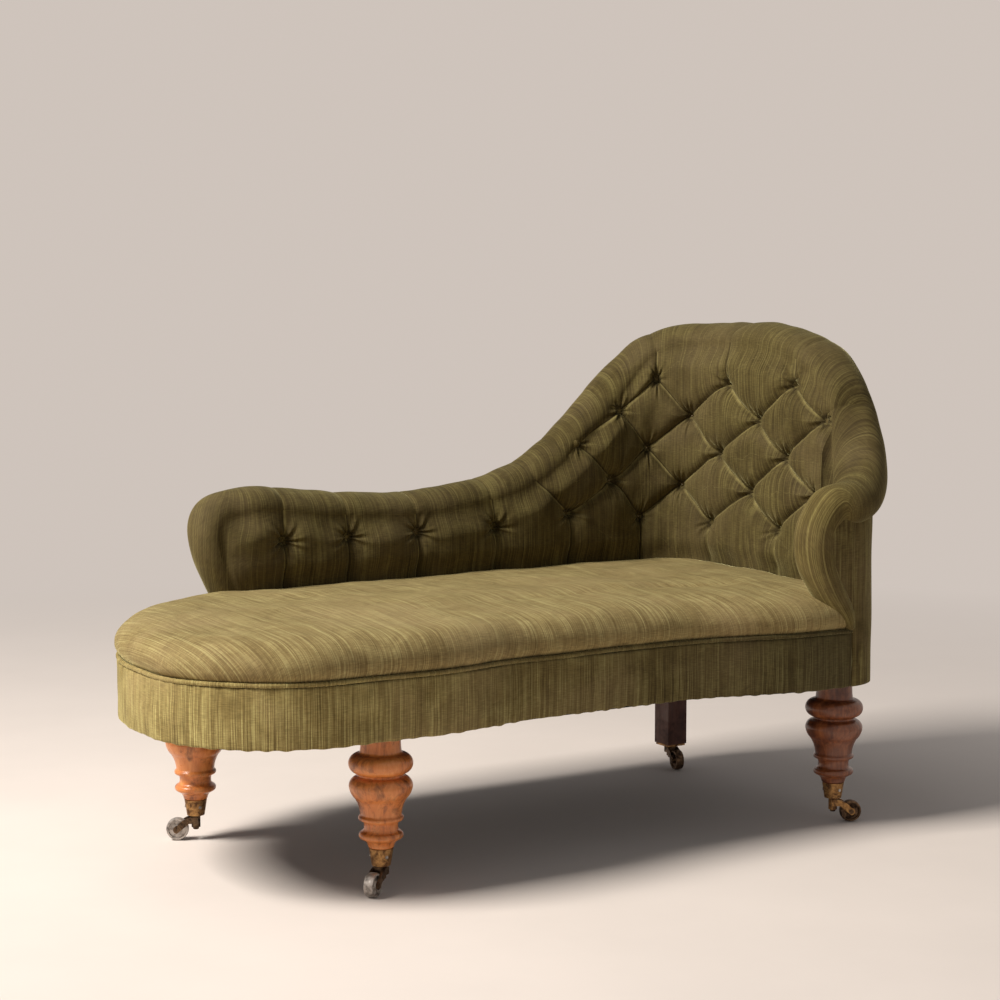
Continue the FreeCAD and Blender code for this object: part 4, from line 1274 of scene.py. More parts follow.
    def sections(self) -> tuple[Array, Array]:
        """Every section: up the inner face, over the roll, in behind and back down inside.

        Returns:
            Points (column, row, 3) in arc length, offset and height, and their map in metres.
        """
        s_c, n_c, z_c, r_c = (self.centre[:, i][:, None] for i in range(4))
        left, arm = self.in_left[:, None], self.in_arm[:, None]
        foot_s, foot_z = self._foot()
        climb = self._climb(foot_z)
        face_s = foot_s + (s_c - foot_s) * climb
        face_z = foot_z + (z_c - foot_z) * climb
        top = np.hypot(s_c - face_s, z_c - face_z)
        fullness = self.roll_fullness * (1.0 - arm) * (1.0 - (1.0 - self.left_roll_share) * left)
        face_n = self.face_offset(face_s, face_z, top, n_c - r_c - fullness, arm)

        turn_end = self.tuck_angle + (self.end_angle - self.tuck_angle) * np.maximum(left, arm)
        theta = np.radians(turn_end) * np.linspace(0.0, 1.0, self.roll_rows + 1)[None, 1:]
        roll_s, roll_n, roll_z = self._roll(theta, fullness)

        heel_s = s_c - self.up[:, :1] * r_c * self.heel_share
        heel_z = z_c - self.up[:, 1:] * r_c * self.heel_share
        down = np.linspace(0.0, 1.0, self.inner_rows)[None, :]
        back_s = heel_s + (foot_s - heel_s) * down
        back_z = heel_z + (foot_z - heel_z) * down
        back_n = np.full_like(back_s, self.inside_offset)

        s = np.concatenate([face_s, roll_s, back_s], axis=1)
        n = np.concatenate([face_n, roll_n, back_n], axis=1)
        z = np.concatenate([face_z, roll_z, back_z], axis=1)
        points = np.stack([s, n, z], -1)
        for tip in (0, -1):
            points[tip] = points[tip].mean(axis=0)
        return points, self._cloth_map(s, n, z, climb, theta)

    def _cloth_map(self, s: Array, n: Array, z: Array, climb: Array, theta: Array) -> Array:
        """Map on which the stripes run up the back, round the left end and along the arm's end.

        Args:
            s, n, z: arc length, offset and height of the points.
            climb: shares of the way from foot to roll, for the points of the face.
            theta: angles over the roll, for the points of the roll.

        Returns:
            Places across and along the stripes, in metres.
        """
        left, arm = self.in_left[:, None], self.in_arm[:, None]
        rolled = slice(climb.shape[1], climb.shape[1] + theta.shape[1])
        step = np.hypot(np.diff(s, axis=1, prepend=s[:, :1]), np.diff(z, axis=1, prepend=z[:, :1]))
        along = np.cumsum(step, axis=1)
        over = np.cumsum(np.diff(theta, axis=1, prepend=0.0) * self.centre[:, 3:4], axis=1)
        along[:, rolled] = along[:, rolled.start - 1 : rolled.start] + over
        turned = np.zeros_like(s)
        turned[:, rolled] = theta * self.form.roll_radius
        rising = np.ones_like(s)
        rising[:, : rolled.start] = climb
        on_arm = self.form.s5 + self.arm_pivot_ahead + self.arm_run * rising + turned
        wrapped = n + self.form.roll_radius + self.roll_fullness
        across = s + (on_arm - s) * arm - wrapped * left
        return np.stack([across, along], -1) * MM

    def placed(self, points: Array) -> Array:
        """Places in arc length, offset and height carried into the room.

        Args:
            points: arc length, offset and height on the last axis.

        Returns:
            Places x, y and z in millimetres.
        """
        spot, normal = self.form.line.at(points[..., 0])
        flat = spot + normal * points[..., 1:2]
        return np.concatenate([flat, points[..., 2:3]], axis=-1)

    def build(self, cloth: Material) -> bpy.types.Object:
        """The cover as one padded piece.

        Args:
            cloth: its material.

        Returns:
            The finished piece.
        """
        points, uv = self.sections()
        cols, rows = points.shape[:2]
        faces = grid_faces(cols, rows, wrap_cols=True)
        # Distances to folds and buttons and the arm's share, kept on the piece for the cloth's painted fold
        # highlights and shade and its paler arm end.
        reach = self.fold_reach
        signed = np.clip(self.signed_fold(points[..., 0], points[..., 2]), -reach, reach)
        on_face = (np.arange(rows) < self.hidden_rows + self.face_rows)[None, :]
        signed = np.where(on_face, signed, reach)
        near = np.minimum(self.gaps(points[..., 0], points[..., 2])[1], self.button_reach)
        near = np.where(on_face, near, self.button_reach)
        arm = np.broadcast_to(self.in_arm[:, None], near.shape)
        folds = np.stack([signed * MM, near * MM, arm], -1).reshape(-1, 3)
        place = self.placed(points).reshape(-1, 3)
        cover = new_piece("back_cover", place, faces, uv.reshape(-1, 2), merge=0.02, folds=folds)
        seat_on(
            cover,
            Slot.VELVET,
            cloth,
            "low_back_end_pad",
            "low_back_pad",
            "rising_back_pad",
            "corner_back_pad",
            "head_back_pad",
            "arm_pad",
            "arm_front_pad",
        )
        return cover

    def button_seats(self) -> tuple[Array, Array]:
        """Where the drawn-in cloth lies under each button.

        Returns:
            Places in the room and the outward normals of the back's line there.
        """
        s, z = self.places[:, 0], self.places[:, 1]
        main = (self.in_left < 0.5) & (self.in_arm < 0.5)
        line = self.centre[main]
        order = np.argsort(line[:, 0])
        centre_z = np.interp(s, line[order, 0], line[order, 2])
        top = np.maximum(centre_z - z, 0.0)
        tangent = np.full_like(s, -self.form.roll_radius - self.roll_fullness)
        n = self.face_offset(s, z, top, tangent, np.zeros_like(s))
        _, normal = self.form.line.at(s)
        return self.placed(np.stack([s, n, z], -1)), normal


@dataclass
class CoveredButtons:
    """Buttons covered in the same cloth, one drawn into each pit."""

    back: StuffedBack
    radius: float = 8.4
    dome: float = 4.2
    edge: float = 3.0
    proud: float = 0.6
    around: int = 32
    slant: float = 0.7
    dome_shares: tuple[float, ...] = (0.0, 0.18, 0.36, 0.54, 0.70, 0.84, 0.94, 1.0)
    rim_shares: tuple[float, ...] = (1.03, 1.0, 0.9, 0.0)
    rim_drops: tuple[float, float] = (0.9, 1.8)

    def build(self, cloth: Material) -> bpy.types.Object:
        """All buttons as one padded piece.

        Each is a dome: height falls with the square of the radius, and the rim turns in behind.

        Args:
            cloth: its material.

        Returns:
            The finished piece.
        """
        share = np.array(self.dome_shares)
        radius = np.concatenate([share, self.rim_shares]) * self.radius
        drops = np.array([*self.rim_drops, self.edge, self.edge])
        height = np.concatenate([self.dome * (1.0 - share**2), -drops])
        angle = np.linspace(0.0, math.tau, self.around, endpoint=False)
        across = radius[:, None] * np.cos(angle)
        upward = radius[:, None] * np.sin(angle)
        outward = np.broadcast_to(height[:, None], across.shape)
        seats, normals = self.back.button_seats()
        side = np.stack([-normals[:, 1], normals[:, 0]], -1)
        rim = len(radius) * self.around
        lift = (outward + self.proud + self.edge)[None]
        flat = seats[:, None, None, :2] - normals[:, None, None, :] * lift[..., None]
        flat = flat + side[:, None, None, :] * across[None, ..., None]
        z = seats[:, 2, None, None] + upward[None]
        points = np.concatenate([flat, z[..., None]], axis=-1).reshape(-1, 3)
        one = grid_faces(len(radius), self.around, wrap_cols=True)
        faces = (one[None] + (np.arange(len(seats)) * rim)[:, None, None]).reshape(-1, 4)
        uv = np.stack([(points[:, 0] + points[:, 1]) * self.slant, points[:, 2]], -1) * MM
        buttons = new_piece("covered_buttons", points, faces, uv, merge=0.01)
        seat_on(buttons, Slot.VELVET, cloth, "back_buttons")
        return buttons


# Seat, welt and border


@dataclass
class SeatPlan:
    """Outer line of the seat, in millimetres."""

    foot_x: float = -666.0
    rear_y: float = 327.0
    foot_rear_radius: float = 365.0
    front_y: float = -327.0
    arm_x: float = 525.0
    hidden_x: float = 760.5
    hidden_radius: float = 230.0
    back_end_x: float = -343.0
    front_corners: tuple[Triple, ...] = (
        (-666.0, -307.0, 225.0),
        (-239.0, -309.0, 400.0),
        (-119.0, -281.0, 400.0),
        (236.0, -277.0, 400.0),
        (411.0, -327.0, 400.0),
    )

    def crown(self) -> RoundedLine:
        """Closed line that the seat's swell is drawn in from; it runs on under the back.

        Returns:
            The line, in millimetres.
        """
        return RoundedLine(
            [(self.foot_x, self.rear_y, self.foot_rear_radius)]
            + list(self.front_corners)
            + [
                (self.hidden_x, self.front_y, self.hidden_radius),
                (self.hidden_x, self.rear_y, self.hidden_radius),
            ],
            closed=True,
        )

    def front(self, back_x: float, arm_x: float) -> RoundedLine:
        """Open line from the low back's end round the foot and along the front to the arm.

        Args:
            back_x: where the line starts, behind.
            arm_x: where it ends, under the arm.

        Returns:
            The line, in millimetres.
        """
        return RoundedLine(
            [(back_x, self.rear_y, 0.0), (self.foot_x, self.rear_y, self.foot_rear_radius)]
            + list(self.front_corners)
            + [(arm_x, self.front_y, 0.0)],
            closed=False,
        )


@dataclass
class SeatCover:
    """Crowned seat with a soft rolled front edge, tucked in under the back and the arm."""

    plan: SeatPlan
    form: BackForm
    columns: int = 820
    edge_rings: int = 54
    top_rings: int = 34
    levels: tuple[tuple[float, float], ...] = (
        (6.0, 337.5),
        (6.0, 346.0),
        (3.0, 350.0),
        (-1.0, 355.0),
        (-3.5, 363.0),
        (-3.5, 370.0),
        (-1.0, 378.5),
        (4.5, 387.0),
        (12.0, 394.5),
        (25.0, 402.0),
        (42.0, 407.0),
        (60.0, 410.0),
        (110.0, 413.5),
        (170.0, 415.5),
    )
    crown_points: int = 12
    under_rings: int = 4
    wall_inset: float = 63.5
    crown_rise: float = 6.0
    crown_share: float = 1.6
    ripple: float = 0.9
    ripple_z: float = 358.0
    ripple_height: float = 9.0
    sag: float = 1.6
    sag_z: float = 380.0
    sag_height: float = 25.0
    lump: float = 1.6
    crease: float = 0.5
    lumps_from: tuple[float, float] = (380.0, 30.0)
    end_x: float = -330.0
    arm_x: float = 519.0
    pole: tuple[float, float] = (80.0, -10.0)

    def profile(self) -> Array:
        """Insets and heights of the rings, evenly stepped along a softened edge line.

        Returns:
            Insets and heights, one row for each ring.
        """
        knots = np.array(self.levels)
        run = np.concatenate([[0.0], np.cumsum(np.linalg.norm(np.diff(knots, axis=0), axis=1))])
        curve_e = Monotone(list(zip(run, knots[:, 0])))
        curve_z = Monotone(list(zip(run, knots[:, 1])))
        split = run[-3]
        edge = np.linspace(0.0, split, self.edge_rings - self.crown_points, endpoint=False)
        even = np.concatenate([edge, np.linspace(split, run[-1], self.crown_points)])
        return np.stack([curve_e(even), curve_z(even)], -1)

    def tucked(self, x: Array, y: Array) -> tuple[Array, Array]:
        """Moves points that lie under the back or the arm to the line where the seat is tucked in.

        Args:
            x, y: places of the points.

        Returns:
            Their new places.
        """
        line = self.form.line
        x, y = x.copy(), y.copy()
        inset = self.wall_inset
        along = x > self.end_x
        rear = self.form.rear_y - inset
        y = np.where(along & (y > rear), rear, y)
        start, head = line.starts[2], line.heads[2]
        normal = np.array([-head[1], head[0]])
        beyond = (x - start[0]) * normal[0] + (y - start[1]) * normal[1] + inset
        move = np.where((beyond > 0.0) & (y > self.form.arm_y + inset), beyond, 0.0)
        x, y = x - move * normal[0], y - move * normal[1]
        for arc in (1, 3):
            radius = abs(1.0 / line.bends[arc])
            heading = line.heads[arc]
            centre = line.starts[arc] + np.array([heading[1], -heading[0]]) * radius
            reach = radius - inset
            leaving = line.heads[arc + 1]
            dx, dy = x - centre[0], y - centre[1]
            gap = np.hypot(dx, dy)
            inside = (dx * heading[0] + dy * heading[1] > 0.0) & (dx * leaving[0] + dy * leaving[1] < 0.0)
            inside &= gap > reach
            scale = np.where(inside, reach / np.maximum(gap, 1e-6), 1.0)
            x, y = centre[0] + dx * scale, centre[1] + dy * scale
        arm = (y < self.form.arm_y + inset) & (x > self.arm_x)
        return np.where(arm, self.arm_x, x), y

    def build(self, cloth: Material) -> bpy.types.Object:
        """The seat as one padded piece: rings drawn in from the outer line and closed at a pole.

        Args:
            cloth: its material.

        Returns:
            The finished piece.
        """
        line = self.plan.crown()
        s = np.linspace(0.0, line.length, self.columns, endpoint=False)
        place, normal = line.at(s)
        rings = self.profile()
        inset, level = rings[:, 0][None, :], rings[:, 1][None, :]
        ripple = self.ripple * waves(s[:, None] * MM, np.zeros((1, 1)), Draw.SEAT_RIPPLE, 14, 8.0, 45.0)
        ripple = ripple * np.exp(-(((level - self.ripple_z) / self.ripple_height) ** 2))
        sag = self.sag * waves(s[:, None] * MM, level * MM, Draw.SEAT_SAG, 8, 2.0, 7.0)
        sag = sag * np.exp(-(((level - self.sag_z) / self.sag_height) ** 2))
        inset = inset + ripple + sag
        x = place[:, 0][:, None] + normal[:, 0][:, None] * inset
        y = place[:, 1][:, None] + normal[:, 1][:, None] * inset
        z = level + np.zeros_like(x)
        share = np.linspace(0.0, 1.0, self.top_rings + 1)[None, 1:]
        top_x = x[:, -1:] + (self.pole[0] - x[:, -1:]) * share
        top_y = y[:, -1:] + (self.pole[1] - y[:, -1:]) * share
        crown = np.sin(0.5 * np.pi * np.clip(share * self.crown_share, 0.0, 1.0))
        top_z = z[:, -1:] + self.crown_rise * crown
        under = np.linspace(1.0, 0.0, self.under_rings, endpoint=False)[None, :]
        low_x = x[:, :1] + (self.pole[0] - x[:, :1]) * under
        low_y = y[:, :1] + (self.pole[1] - y[:, :1]) * under
        low_z = np.full_like(low_x, rings[0, 1])
        x = np.concatenate([low_x, x, top_x], axis=1)
        y = np.concatenate([low_y, y, top_y], axis=1)
        z = np.concatenate([low_z, z, top_z], axis=1)
        drop = np.maximum(rings[-1, 1] - z, 0.0)
        uv = np.stack([x - drop * normal[:, :1], y - drop * normal[:, 1:]], -1) * MM
        x, y = self.tucked(x, y)
        lumps = self.lump * waves(x * MM, y * MM, Draw.SEAT_LUMPS, 12, 1.5, 7.0)
        lumps = lumps + self.crease * waves(x * MM, y * MM, Draw.SEAT_CREASES, 10, 8.0, 22.0)
        z = z + lumps * rise(z, *self.lumps_from)
        points = np.stack([x, y, z], -1)
        cols, rows = x.shape
        faces = grid_faces(cols, rows, wrap_rows=True)
        cover = new_piece("seat_cover", points.reshape(-1, 3), faces, uv.reshape(-1, 2), merge=0.02)
        seat_on(cover, Slot.SEAT_VELVET, cloth, "seat_pad")
        return cover


@dataclass
class SeatBorder:
    """Upright band of cloth round the seat frame, and the piped welt above it."""

    plan: SeatPlan
    hem_z: float = 248.0
    top_z: float = 341.3
    thickness: float = 3.0
    fullness: float = 1.6
    welt_z: float = 345.0
    welt_radius: float = 3.6
    welt_inset: float = 1.0
    welt_around: int = 14
    welt_map_radius: float = 3.5
    step: float = 3.2
    welt_step: float = 1.7
    welt_start_x: float = -344.5
    lap: tuple[float, float] = (34.0, 12.0)
    lap_depth: float = 3.5
    hem_round: float = 1.2
    top_round: float = 0.8
    face_points: int = 26
    inner_points: int = 5
    pull: float = 0.8
    tuck: float = 0.7
    tuck_height: float = 22.0
    fray: float = 0.9
    fray_height: float = 3.0
    tick: float = 0.22
    tick_pitch: float = 7.0
    uneven_tick: float = 0.18
    tick_slant: float = 10.0
    sway: float = 0.7

    def _loops(self, line: RoundedLine, s: Array, inset: Array, level: Array) -> Array:
        """A closed section carried along the seat's line, its first and last drawn to a point.

        Args:
            line: the seat's line.
            s: arc lengths of the stations.
            inset: how far in from the line, one row for each station.
            level: heights, one row for each station.

        Returns:
            Points (station, place in section, 3).
        """
        place, normal = line.at(s)
        flat = place[:, None, :] + normal[:, None, :] * inset[..., None]
        height = np.broadcast_to(level, flat.shape[:2])
        points = np.concatenate([flat, height[..., None]], axis=-1)
        for tip in (0, -1):
            points[tip] = points[tip].mean(axis=0)
        return points

    def build_border(self, cloth: Material) -> bpy.types.Object:
        """Band with a soft hem; its face swells a little between hem and welt.

        The swell is a flattened half sine of the height. Slow waves pull the face, tucks gather
        it under the welt and the hem frays up and down.

        Args:
            cloth: its material.

        Returns:
            The finished piece.
        """
        line = self.plan.front(self.plan.back_end_x, self.plan.arm_x)
        s = np.linspace(0.0, line.length, int(line.length / self.step))
        run = s[:, None] * MM
        flat = np.zeros((1, 1))
        outer_z = np.linspace(self.hem_z + self.hem_round, self.top_z - self.top_round, self.face_points)
        t = (outer_z - self.hem_z) / (self.top_z - self.hem_z)
        outer = -self.fullness * np.sin(np.pi * t) ** 0.6
        inner_z = np.linspace(self.top_z, self.hem_z, self.inner_points)
        level = np.concatenate([[self.hem_z], outer_z, inner_z])
        inset = np.concatenate([[self.hem_round], outer, np.full(self.inner_points, self.thickness)])
        pull = self.pull * waves(run, level[None, :] * MM, Draw.BORDER_PULL, 14, 4.0, 30.0)
        tuck = self.tuck * waves(run, flat, Draw.BORDER_TUCKS, 16, 12.0, 60.0)
        high = np.clip(1.0 - (self.top_z - level) / self.tuck_height, 0.0, 1.0)[None, :]
        face = (np.arange(len(level)) <= len(outer_z))[None, :]
        lapped = self.lap_depth * fall(s, *self.lap)[:, None]
        inset = inset[None, :] + face * (pull + tuck * high) + lapped
        fray = self.fray * waves(run, flat, Draw.BORDER_FRAY, 12, 10.0, 70.0)
        at_hem = np.exp(-(((level - self.hem_z) / self.fray_height) ** 2))[None, :]
        points = self._loops(line, s, inset, level[None, :] + fray * at_hem)
        uv = np.stack([np.broadcast_to(s[:, None], points.shape[:2]), points[..., 2]], -1) * MM
        faces = grid_faces(*points.shape[:2], wrap_cols=True)
        points, uv = points.reshape(-1, 3), uv.reshape(-1, 2)
        band = new_piece("border_cloth", points, faces, uv, flip=True, merge=0.02)
        seat_on(band, Slot.VELVET, cloth, "seat_border")
        return band

    def build_welt(self, cloth: Material) -> bpy.types.Object:
        """Piped welt: a round cord whose cloth is drawn into fine cross ticks.

        The radius is a circle's with an even cosine of ticks and some unevenness added, and the
        cord sways a little up and down along the seat's line.

        Args:
            cloth: its material.

        Returns:
            The finished piece.
        """
        line = self.plan.front(self.welt_start_x, self.plan.arm_x)
        s = np.linspace(0.0, line.length, int(line.length / self.welt_step))
        run = s[:, None] * MM
        angle = np.linspace(0.0, math.tau, self.welt_around, endpoint=False)[None, :]
        tick = self.tick * np.cos(math.tau * s / self.tick_pitch)[:, None]
        uneven = waves(run, angle * self.tick_slant * MM, Draw.WELT_TICKS, 10, 40.0, 160.0)
        tick = tick + self.uneven_tick * uneven
        sway = self.sway * waves(run, np.zeros((1, 1)), Draw.WELT_SWAY, 8, 2.0, 9.0)
        radius = self.welt_radius + tick
        inset = self.welt_inset - radius * np.cos(angle)
        level = self.welt_z + radius * np.sin(angle) + sway
        points = self._loops(line, s, inset, level)
        girth = np.broadcast_to(angle * self.welt_map_radius * MM, level.shape)
        uv = np.stack([np.broadcast_to(run, level.shape), girth], -1)
        faces = grid_faces(*points.shape[:2], wrap_cols=True)
        points, uv = points.reshape(-1, 3), uv.reshape(-1, 2)
        welt = new_piece("piped_welt", points, faces, uv, flip=True, merge=0.01)
        seat_on(welt, Slot.VELVET, cloth, "seat_welt")
        return welt


@dataclass
class OutsideCover:
    """Cloth drawn tight over the outside of the back, the head and the arm, down to the hem."""

    back: StuffedBack
    outer: float = 14.0
    thickness: float = 3.0
    hem_z: float = 248.0
    top_drop: float = 64.0
    step: float = 4.0
    seam_z: tuple[float, ...] = (345.0, 375.0, 400.0, 430.0, 460.0, 490.0, 520.0, 545.0)
    seam_x: tuple[float, ...] = (521.0, 514.0, 499.0, 484.0, 473.0, 468.0, 472.0, 482.0)
    apron_lap: float = 6.0
    apron_proud: float = 0.15
    apron_low: float = 345.0
    apron_high: float = 545.0
    flap_low: float = 382.0
    flap_high: float = 500.0
    flap_bend: float = 16.0
    wall_rows: int = 60
    flap_rows: int = 40
    sheet_columns: int = 16
    pull: float = 0.7
    bow: float = 0.48

    def _wall(self) -> tuple[Array, Array, Array]:
        """Thin closed wall along the back's line, from the hem to below the roll.

        Its face bows in by a half sine of the height, and slow waves pull it.

        Returns:
            Points, faces and the map.
        """
        form = self.back.form
        s = np.linspace(form.body_start, form.s5, int((form.s5 - form.body_start) / self.step))
        t = np.linspace(0.0, 1.0, self.wall_rows)[None, :]
        level = self.hem_z + (form.height(s)[:, None] - self.top_drop - self.hem_z) * t
        pull = waves(s[:, None] * MM, level * MM, Draw.OUTSIDE_PULL, 12, 2.0, 14.0)
        face = self.outer + (self.pull * pull - self.bow) * np.sin(np.pi * t)
        n = np.concatenate([face, np.full_like(level, self.outer - self.thickness)], axis=1)
        z = np.concatenate([level, level[:, ::-1]], axis=1)
        points = np.stack([np.broadcast_to(s[:, None], z.shape), n, z], -1)
        for tip in (0, -1):
            points[tip, :, 1] = self.outer - 0.5 * self.thickness
        uv = np.stack([points[..., 0], points[..., 2]], -1).reshape(-1, 2) * MM
        return self.back.placed(points).reshape(-1, 3), grid_faces(*z.shape, wrap_cols=True), uv

    def _sheet(self, along: Array, aside: Array, level: Array, thickness: float) -> Array:
        """Front and back of a small sheet as one closed grid, its first and last column shut.

        Args:
            along: places along the sheet, one row for each column of points.
            aside: places across the sheet.
            level: heights of the rows.
            thickness: from front to back, with its sign.

        Returns:
            Points (column, row, 3).
        """
        height = np.broadcast_to(level[None, :], along.shape)
        along = np.concatenate([along, along[:, ::-1]], axis=1)
        aside = np.concatenate([aside, aside[:, ::-1] + thickness], axis=1)
        height = np.concatenate([height, height[:, ::-1]], axis=1)
        points = np.stack([along, aside, height], -1)
        for tip in (0, -1):
            points[tip, :, 1] = points[tip, :, 1].mean()
        return points

    def _apron(self) -> tuple[Array, Array, Array]:
        """Forward part of the arm's outside, up to the seam beside the arm's stuffed front.

        Returns:
            Points, faces and the map.
        """
        form = self.back.form
        level = np.linspace(self.apron_low, self.apron_high, self.wall_rows)
        seam = Monotone(list(zip(self.seam_z, self.seam_x)))(level)
        w = np.linspace(0.0, 1.0, self.sheet_columns)[:, None]
        start = form.arm_end_x + self.apron_lap
        x = start + (seam[None, :] - start) * w
        y = np.full_like(x, form.arm_y - self.outer - self.apron_proud)
        points = self._sheet(x, y, level, self.thickness)
        across = form.s5 + form.arm_end_x - points[..., 0]
        uv = np.stack([across, points[..., 2]], -1).reshape(-1, 2) * MM
        return points.reshape(-1, 3), grid_faces(*points.shape[:2], wrap_cols=True), uv

    def _end_flap(self) -> tuple[Array, Array, Array]:
        """Cloth from the low back's outside bent in to the rounded end that it is sewn to.

        Returns:
            Points, faces and the map.
        """
        back = self.back
        level = np.linspace(self.flap_low, self.flap_high, self.flap_rows)
        end = np.array(back.left_end)
        seam = np.interp(level, end[:, 2], end[:, 0])
        w = np.linspace(0.0, 1.0, self.sheet_columns)[:, None]
        start = back.form.body_start + self.apron_lap
        s = start + (seam[None, :] - start) * w
        n = self.outer - self.apron_proud - self.flap_bend * smooth(w) + np.zeros_like(s)
        points = self._sheet(s, n, level, -self.thickness)
        faces = grid_faces(*points.shape[:2], wrap_cols=True)[:, ::-1]
        uv = np.stack([points[..., 0], points[..., 2]], -1).reshape(-1, 2) * MM
        return back.placed(points).reshape(-1, 3), faces, uv

    def build(self, cloth: Material) -> bpy.types.Object:
        """Outside of the back, head and arm in one piece.

        Args:
            cloth: its material.

        Returns:
            The finished piece.
        """
        parts = [self._wall(), self._apron(), self._end_flap()]
        firsts = np.cumsum([0] + [len(part[0]) for part in parts])
        points = np.concatenate([part[0] for part in parts])
        faces = np.concatenate([part[1] + first for part, first in zip(parts, firsts)])
        uv = np.concatenate([part[2] for part in parts])
        cover = new_piece("outside_cloth", points, faces, uv, merge=0.02)
        seat_on(
            cover,
            Slot.VELVET,
            cloth,
            "outside_low_back",
            "outside_back_corner",
            "outside_head",
            "outside_arm",
        )
        return cover


# Finishes of the CAD nodes


class Finish(Enum):
    """Finishes of the CAD nodes that stay showing, and of those inside."""

    FOOT_FRONT_LEG = "turned wood foot front"
    FOOT_REAR_LEG = "turned wood foot rear"
    HEAD_FRONT_LEG = "turned wood head front"
    SQUARE_LEG = "square wood"
    BRASS = "aged brass"
    BRONZE = "dark bronze"
    WHEEL = "wheel metal"
    SCREW = "screw steel"
    IRON = "frame iron"
    SPRING = "spring steel"
    BEECH = "frame wood"
    HESSIAN = "hessian"
    WEBBING = "webbing"
    DUST_CLOTH = "dust cloth"
    TWINE = "twine"


@dataclass
class HardParts:
    """Finishes of the legs, casters, frame, iron, springs and inner cloths."""

    nodes: dict[str, bpy.types.Object]

    @staticmethod
    def woods() -> tuple[PolishedWood, ...]:
        """Woods of the four legs, which differ in age, and of the frame.

        Returns:
            One wood for each finish.
        """
        return (
            PolishedWood(Finish.FOOT_FRONT_LEG.value),
            PolishedWood(Finish.FOOT_REAR_LEG.value),
            PolishedWood(
                Finish.HEAD_FRONT_LEG.value,
                dark=(0.050, 0.011, 0.004),
                middle=(0.180, 0.048, 0.013),
                pale=(0.360, 0.120, 0.040),
            ),
            PolishedWood(
                Finish.SQUARE_LEG.value,
                dark=(0.030, 0.010, 0.006),
                middle=(0.085, 0.026, 0.014),
                pale=(0.130, 0.045, 0.024),
                roughness=0.55,
                coat=0.05,
            ),
            PolishedWood(
                Finish.BEECH.value,
                dark=(0.28, 0.17, 0.09),
                middle=(0.46, 0.31, 0.17),
                pale=(0.60, 0.44, 0.27),
                roughness=0.7,
                coat=0.0,
            ),
        )

    @staticmethod
    def metals() -> tuple[AgedMetal, ...]:
        """Metals, each with its rubbed and its tarnished colour.

        Returns:
            One metal for each finish.
        """
        return (
            AgedMetal(Finish.BRASS.value, (0.46, 0.26, 0.10), (0.11, 0.055, 0.03)),
            AgedMetal(Finish.BRONZE.value, (0.19, 0.12, 0.07), (0.035, 0.022, 0.016), roughness=0.42),
            AgedMetal(
                Finish.WHEEL.value,
                (0.50, 0.46, 0.42),
                (0.11, 0.09, 0.08),
                roughness=0.42,
                tarnish=0.7,
            ),
            AgedMetal(Finish.SCREW.value, (0.42, 0.40, 0.37), (0.14, 0.11, 0.09)),
            AgedMetal(Finish.IRON.value, (0.10, 0.09, 0.085), (0.05, 0.035, 0.028), roughness=0.6),
            AgedMetal(Finish.SPRING.value, (0.34, 0.31, 0.28), (0.12, 0.09, 0.07)),
        )

    @staticmethod
    def cloths() -> tuple[WovenCloth, ...]:
        """Plain cloths and the twine, each with its dark and its pale thread.

        Returns:
            One cloth for each finish.
        """
        return (
            WovenCloth(Finish.HESSIAN.value, (0.16, 0.10, 0.05), (0.42, 0.31, 0.18), 500.0),
            WovenCloth(Finish.WEBBING.value, (0.20, 0.14, 0.08), (0.50, 0.40, 0.26), 420.0),
            WovenCloth(Finish.DUST_CLOTH.value, (0.012, 0.011, 0.010), (0.04, 0.037, 0.034), 900.0),
            WovenCloth(Finish.TWINE.value, (0.25, 0.18, 0.10), (0.55, 0.44, 0.28), 1500.0),
        )

    @staticmethod
    def finish_of(node: str) -> Optional[Finish]:
        """Finish of a node, by how its name starts.

        Args:
            node: name of the CAD node.

        Returns:
            The finish, or None for a soft node.
        """
        starts = {
            "leg_foot_front": Finish.FOOT_FRONT_LEG,
            "leg_foot_rear": Finish.FOOT_REAR_LEG,
            "leg_head_front": Finish.HEAD_FRONT_LEG,
            "leg_head_rear": Finish.SQUARE_LEG,
            "caster_socket": Finish.BRASS,
            "caster_plate": Finish.BRASS,
            "caster_fork_head_front": Finish.BRASS,
            "caster_fork": Finish.BRONZE,
            "caster_pin": Finish.BRONZE,
            "caster_axle": Finish.BRONZE,
            "caster_wheel_head": Finish.BRONZE,
            "caster_wheel": Finish.WHEEL,
            "caster_screws": Finish.SCREW,
            "upright_screws": Finish.SCREW,
            "seat_springs": Finish.SPRING,
            "seat_rail": Finish.BEECH,
            "seat_cross": Finish.BEECH,
            "corner_blocks": Finish.BEECH,
            "back_top_rod": Finish.IRON,
            "back_uprights": Finish.IRON,
            "back_lath": Finish.IRON,
            "seat_hessian": Finish.HESSIAN,
            "back_hessian": Finish.HESSIAN,
            "webbing": Finish.WEBBING,
            "dust_cloth": Finish.DUST_CLOTH,
            "button_twines": Finish.TWINE,
        }
        return next((finish for start, finish in starts.items() if node.startswith(start)), None)

    def dress(self, cloth: Material) -> None:
        """Gives every CAD node its finish; the soft ones get the cloth, though they are replaced.

        Args:
            cloth: material of the soft nodes.
        """
        made = {finish.name: finish.build() for finish in self.woods() + self.metals() + self.cloths()}
        for name, node in sorted(self.nodes.items()):
            finish = self.finish_of(name)
            node.data.materials.clear()
            node.data.materials.append(made[finish.value] if finish else cloth)


# Room, light and camera


